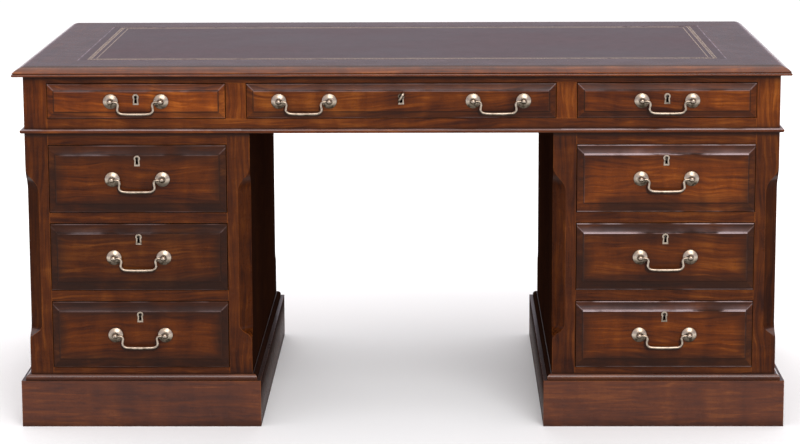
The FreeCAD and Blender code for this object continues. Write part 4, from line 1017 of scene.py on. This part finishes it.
def tooled_roll(name, half_x, half_y, leather, material):
    """A row of small gilt lozenges along each side of the leather."""
    rows = [lozenge_row(leather, half_x, half_y, False), lozenge_row(leather, half_y, half_x, True)]
    for row in rows:
        row.select_set(True)
    bpy.ops.object.join()
    return settle(name, material)


class DESK_OT_leather(bpy.types.Operator):
    """Finish the writing leather and lay its gilt lines"""

    bl_idname = "desk.leather"
    bl_label = "Writing leather"

    def execute(self, context):
        leather = context.scene.desk_leather
        dress(["writing_leather"], writing_hide(leather))
        gold = worn_gilding(leather)
        inner_edge = leather.outer_line_inset + leather.band_width
        for name, inset in (
            ("gilt_outer_line", leather.outer_line_inset),
            ("gilt_second_line", inner_edge),
            ("gilt_inner_line", leather.inner_line_inset),
        ):
            line = raised_frame(name, inset, leather.line_width, gold)
            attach(line, "desk")
        middle = (leather.outer_line_inset + inner_edge + leather.line_width) / 2
        roll = tooled_roll("gilt_roll", LEATHER_HIGH.x - middle, LEATHER_HIGH.y - middle, leather, gold)
        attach(roll, "desk")
        edge = raised_frame("leather_edge", 0, leather.edge_width, turned_edge(leather))
        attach(edge, "desk")
        return {"FINISHED"}


# Brass


def aged_brass(name, brass):
    """Pale brass, tarnished in its corners and in patches, with painted shade on faces that look down and
    on flat faces that look to the front or back, and a painted warm reflection on faces that look up.
    """
    recipe = Recipe(name, Metallic=1.0)
    x, y, z = recipe.place()
    _, turned_y, turned_z = recipe.facing()
    clouds = recipe.noise(recipe.point(x, y, z), 90.0, detail=4, roughness=0.65)
    scratches = recipe.noise(recipe.point(x * 900, y * 260, z * 420))
    corners = 1 - recipe.openness(0.006)
    # Painted shade on faces that look down
    under = turned_z.rising(0.10, -0.42)
    # Painted shade on flat faces that look to the front or back
    flat = abs(turned_y).rising(0.970, 0.998) * 0.30
    dull = (corners * 4.0 + clouds.rising(0.46, 0.70) * 0.40 + under * 0.85 + flat).least(1)
    # Painted reflection: faces that look up take a warmer, darker tint
    crown_metal = [part * warmth for part, warmth in zip(brass.metal, CROWN_REFLECTION)]
    colour = recipe.mix(turned_z.rising(0.15, 0.50), brass.metal, crown_metal)
    colour = recipe.mix(dull, colour, brass.tarnish_and_shade)
    roughness = 0.23 + clouds * 0.14 + dull * 0.22
    normal = recipe.bump(clouds * 0.6 + scratches * 0.4, 0.08, 0.0003, recipe.soft_normal(0.0003))
    return recipe.finish(Base_Color=colour, Roughness=roughness, Normal=normal)


def line_through(points, steps):
    """A smooth line through some points, with a number of steps from each to the next."""
    ends = [points[0], *points, points[-1]]
    line = []
    for before, start, end, after in zip(ends, ends[1:], ends[2:], ends[3:]):
        for step in range(steps):
            t = step / steps
            weights = (
                (2 - t) * t * t - t,
                (3 * t - 5) * t * t + 2,
                (4 - 3 * t) * t * t + t,
                (t - 1) * t * t,
            )
            fours = zip(before, start, end, after)
            line.append([sum(w * part for w, part in zip(weights, four)) / 2 for four in fours])
    return line + [points[-1]]


def bail_pattern(sides):
    """A swan-neck bail round its pivot: a disc drawn out along a line, turned and swelled on the way."""
    half = [[part / 1000 for part in point] for point in BAIL_LINE]
    whole = half + [[-x, z, radius] for x, z, radius in reversed(half[:-1])]
    line = line_through(whole, BAIL_STEPS)
    headings = []
    for before, after in zip([line[0], *line], [*line[1:], line[-1]]):
        headings.append(math.atan2(after[1] - before[1], after[0] - before[0]))
    deselect_all()
    x, z, radius = line[0]
    bpy.ops.mesh.primitive_circle_add(
        vertices=sides, radius=radius, fill_type="NGON", location=(x, 0, z), rotation=(0, -math.pi / 2, 0)
    )
    bpy.ops.object.mode_set(mode="EDIT")
    for (x0, z0, radius0), (x, z, radius), before, after in zip(line, line[1:], headings, headings[1:]):
        bpy.ops.mesh.extrude_region_move(TRANSFORM_OT_translate={"value": (x - x0, 0, z - z0)})
        turn = (after - before + math.pi) % math.tau - math.pi
        bpy.ops.transform.rotate(value=turn, orient_axis="Y", center_override=(x, 0, z))
        bpy.ops.transform.resize(value=[radius / radius0] * 3, center_override=(x, 0, z))
    turn_outwards()
    bpy.ops.object.mode_set(mode="OBJECT")
    bpy.ops.object.transform_apply(location=True, rotation=True, scale=True)
    bpy.ops.object.shade_smooth_by_angle(angle=math.radians(BAIL_SMOOTH_ANGLE))
    return bpy.context.object


def copy_of(pattern, name, place, material):
    """A copy of a pattern with a mesh of its own, set in its place."""
    deselect_all()
    pattern.select_set(True)
    bpy.context.view_layer.objects.active = pattern
    bpy.ops.object.duplicate()
    bpy.context.object.location = place
    return settle(name, material)


class DESK_OT_bails(bpy.types.Operator):
    """Model the swan-neck bails and hang each between its two posts"""

    bl_idname = "desk.bails"
    bl_label = "Bails"

    def execute(self, context):
        brass = context.scene.desk_brass
        metal = aged_brass("handled_brass", brass)
        pattern = bail_pattern(brass.bail_sides)
        for node in BAIL_NODES:
            low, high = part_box(node)
            middle = (low + high) / 2
            pivot = (middle.x, middle.y, high.z - BAIL_END_RADIUS)
            bail = copy_of(pattern, node + "_bail", pivot, metal)
            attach(bail, body_of(node))
            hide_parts(node)
        bpy.data.objects.remove(pattern)
        return {"FINISHED"}


class DESK_OT_brass(bpy.types.Operator):
    """Finish the roses, locks, escutcheons, hinges and the key in old brass"""

    bl_idname = "desk.brass"
    bl_label = "Brass fittings"

    def execute(self, context):
        dress(BRASS_NODES, aged_brass("pale_old_brass", context.scene.desk_brass))
        return {"FINISHED"}


# Setting


def floor_paint(stage):
    """The pale floor, very slightly clouded."""
    recipe = Recipe("pale_floor", Roughness=0.7)
    cloud = recipe.noise(recipe.point(*recipe.place()), 0.8, detail=3)
    shade = toned(stage.floor_colour, 0.97)
    return recipe.finish(Base_Color=recipe.mix(cloud, stage.floor_colour, shade))


def world_light(scene):
    """A pale surround that darkens from overhead to the horizon."""
    scene.world = bpy.data.worlds.new("studio_surround")
    scene.world.use_nodes = True
    sky = Nodes(scene.world.node_tree)
    direction = sky.add("ShaderNodeTexCoord", output="Generated")
    height = sky.add("ShaderNodeSeparateXYZ", None, {0: direction}, 2)
    colour = sky.add("ShaderNodeValToRGB", {"stops": SKY}, {0: height})
    sky.feed(sky.tree.nodes["Background"].inputs["Color"], colour)


def hang_sun(name, towards, spread, power):
    """The broad light from the window."""
    bpy.ops.object.light_add(type="SUN", location=towards)
    sun = bpy.context.object
    sun.name = name
    sun.data.angle = math.radians(spread)
    sun.data.energy = power
    sun.rotation_euler = Vector(towards).to_track_quat("Z", "Y").to_euler()


def hang_lamp(name, place, target, size, power):
    """A soft lamp that lights the desk and isn't mirrored in its polish."""
    bpy.ops.object.light_add(type="AREA", location=place)
    lamp = bpy.context.object
    lamp.name = name
    lamp.data.shape = "RECTANGLE"
    lamp.data.size, lamp.data.size_y = size
    lamp.data.energy = power
    lamp.rotation_euler = (Vector(target) - Vector(place)).to_track_quat("-Z", "Y").to_euler()
    lamp.visible_camera = False
    lamp.visible_glossy = False


def place_camera(lens):
    """The camera in front of the desk, looking slightly down."""
    bpy.ops.object.camera_add(location=CAMERA_PLACE)
    camera = bpy.context.object
    turn = Matrix.Rotation(math.radians(CAMERA_YAW), 3, "Z")
    tilt = Matrix.Rotation(math.radians(90 - CAMERA_PITCH), 3, "X")
    roll = Matrix.Rotation(math.radians(CAMERA_ROLL), 3, "Z")
    camera.rotation_euler = (turn @ tilt @ roll).to_euler()
    camera.data.lens = lens
    camera.data.sensor_width = FILM_WIDTH
    return camera


class DESK_OT_stage(bpy.types.Operator):
    """Lay the floor, hang the lamps and place the camera"""

    bl_idname = "desk.stage"
    bl_label = "Floor, lamps and camera"

    def execute(self, context):
        stage = context.scene.desk_stage
        deselect_all()
        bpy.ops.mesh.primitive_circle_add(
            vertices=FLOOR_SIDES, radius=FLOOR_RADIUS, fill_type="NGON", location=(0, 0, 0)
        )
        floor = settle("studio_floor", floor_paint(stage))
        world_light(context.scene)
        hang_sun(*SUN)
        for lamp in LAMPS:
            hang_lamp(*lamp)
        context.scene.camera = place_camera(stage.lens)
        context.scene.view_settings.view_transform = "Standard"
        return {"FINISHED"}


class DESK_PT_sidebar(bpy.types.Panel):
    """Everything that dresses the desk, in the order it is run."""

    bl_label = "Partners desk"
    bl_idname = "DESK_PT_sidebar"
    bl_space_type = "VIEW_3D"
    bl_region_type = "UI"
    bl_category = "Desk"

    def draw(self, context):
        for group in SETTINGS:
            box = self.layout.box()
            settings = getattr(context.scene, group)
            for name in settings.bl_rna.properties.keys():
                if name not in ("rna_type", "name"):
                    box.prop(settings, name)
        for operator in OPERATORS:
            self.layout.operator(operator.bl_idname)


SETTINGS = {
    "desk_wood": DeskWood,
    "desk_leather": DeskLeather,
    "desk_brass": DeskBrass,
    "desk_stage": DeskStage,
}
OPERATORS = (
    DESK_OT_mahogany,
    DESK_OT_drawers,
    DESK_OT_inner_timber,
    DESK_OT_leather,
    DESK_OT_brass,
    DESK_OT_bails,
    DESK_OT_stage,
)


def register():
    """Makes the settings, the operators and the panel known."""
    for each in (*SETTINGS.values(), *OPERATORS, DESK_PT_sidebar):
        bpy.utils.register_class(each)
    for name, group in SETTINGS.items():
        setattr(bpy.types.Scene, name, PointerProperty(type=group))


def unregister():
    """Takes back what register did."""
    for name in SETTINGS:
        delattr(bpy.types.Scene, name)
    for each in reversed((*SETTINGS.values(), *OPERATORS, DESK_PT_sidebar)):
        bpy.utils.unregister_class(each)


def main():
    """Dresses the desk."""
    register()
    bpy.ops.desk.mahogany()
    bpy.ops.desk.drawers()
    bpy.ops.desk.inner_timber()
    bpy.ops.desk.leather()
    bpy.ops.desk.brass()
    bpy.ops.desk.bails()
    bpy.ops.desk.stage()


if __name__ == "__main__":
    main()
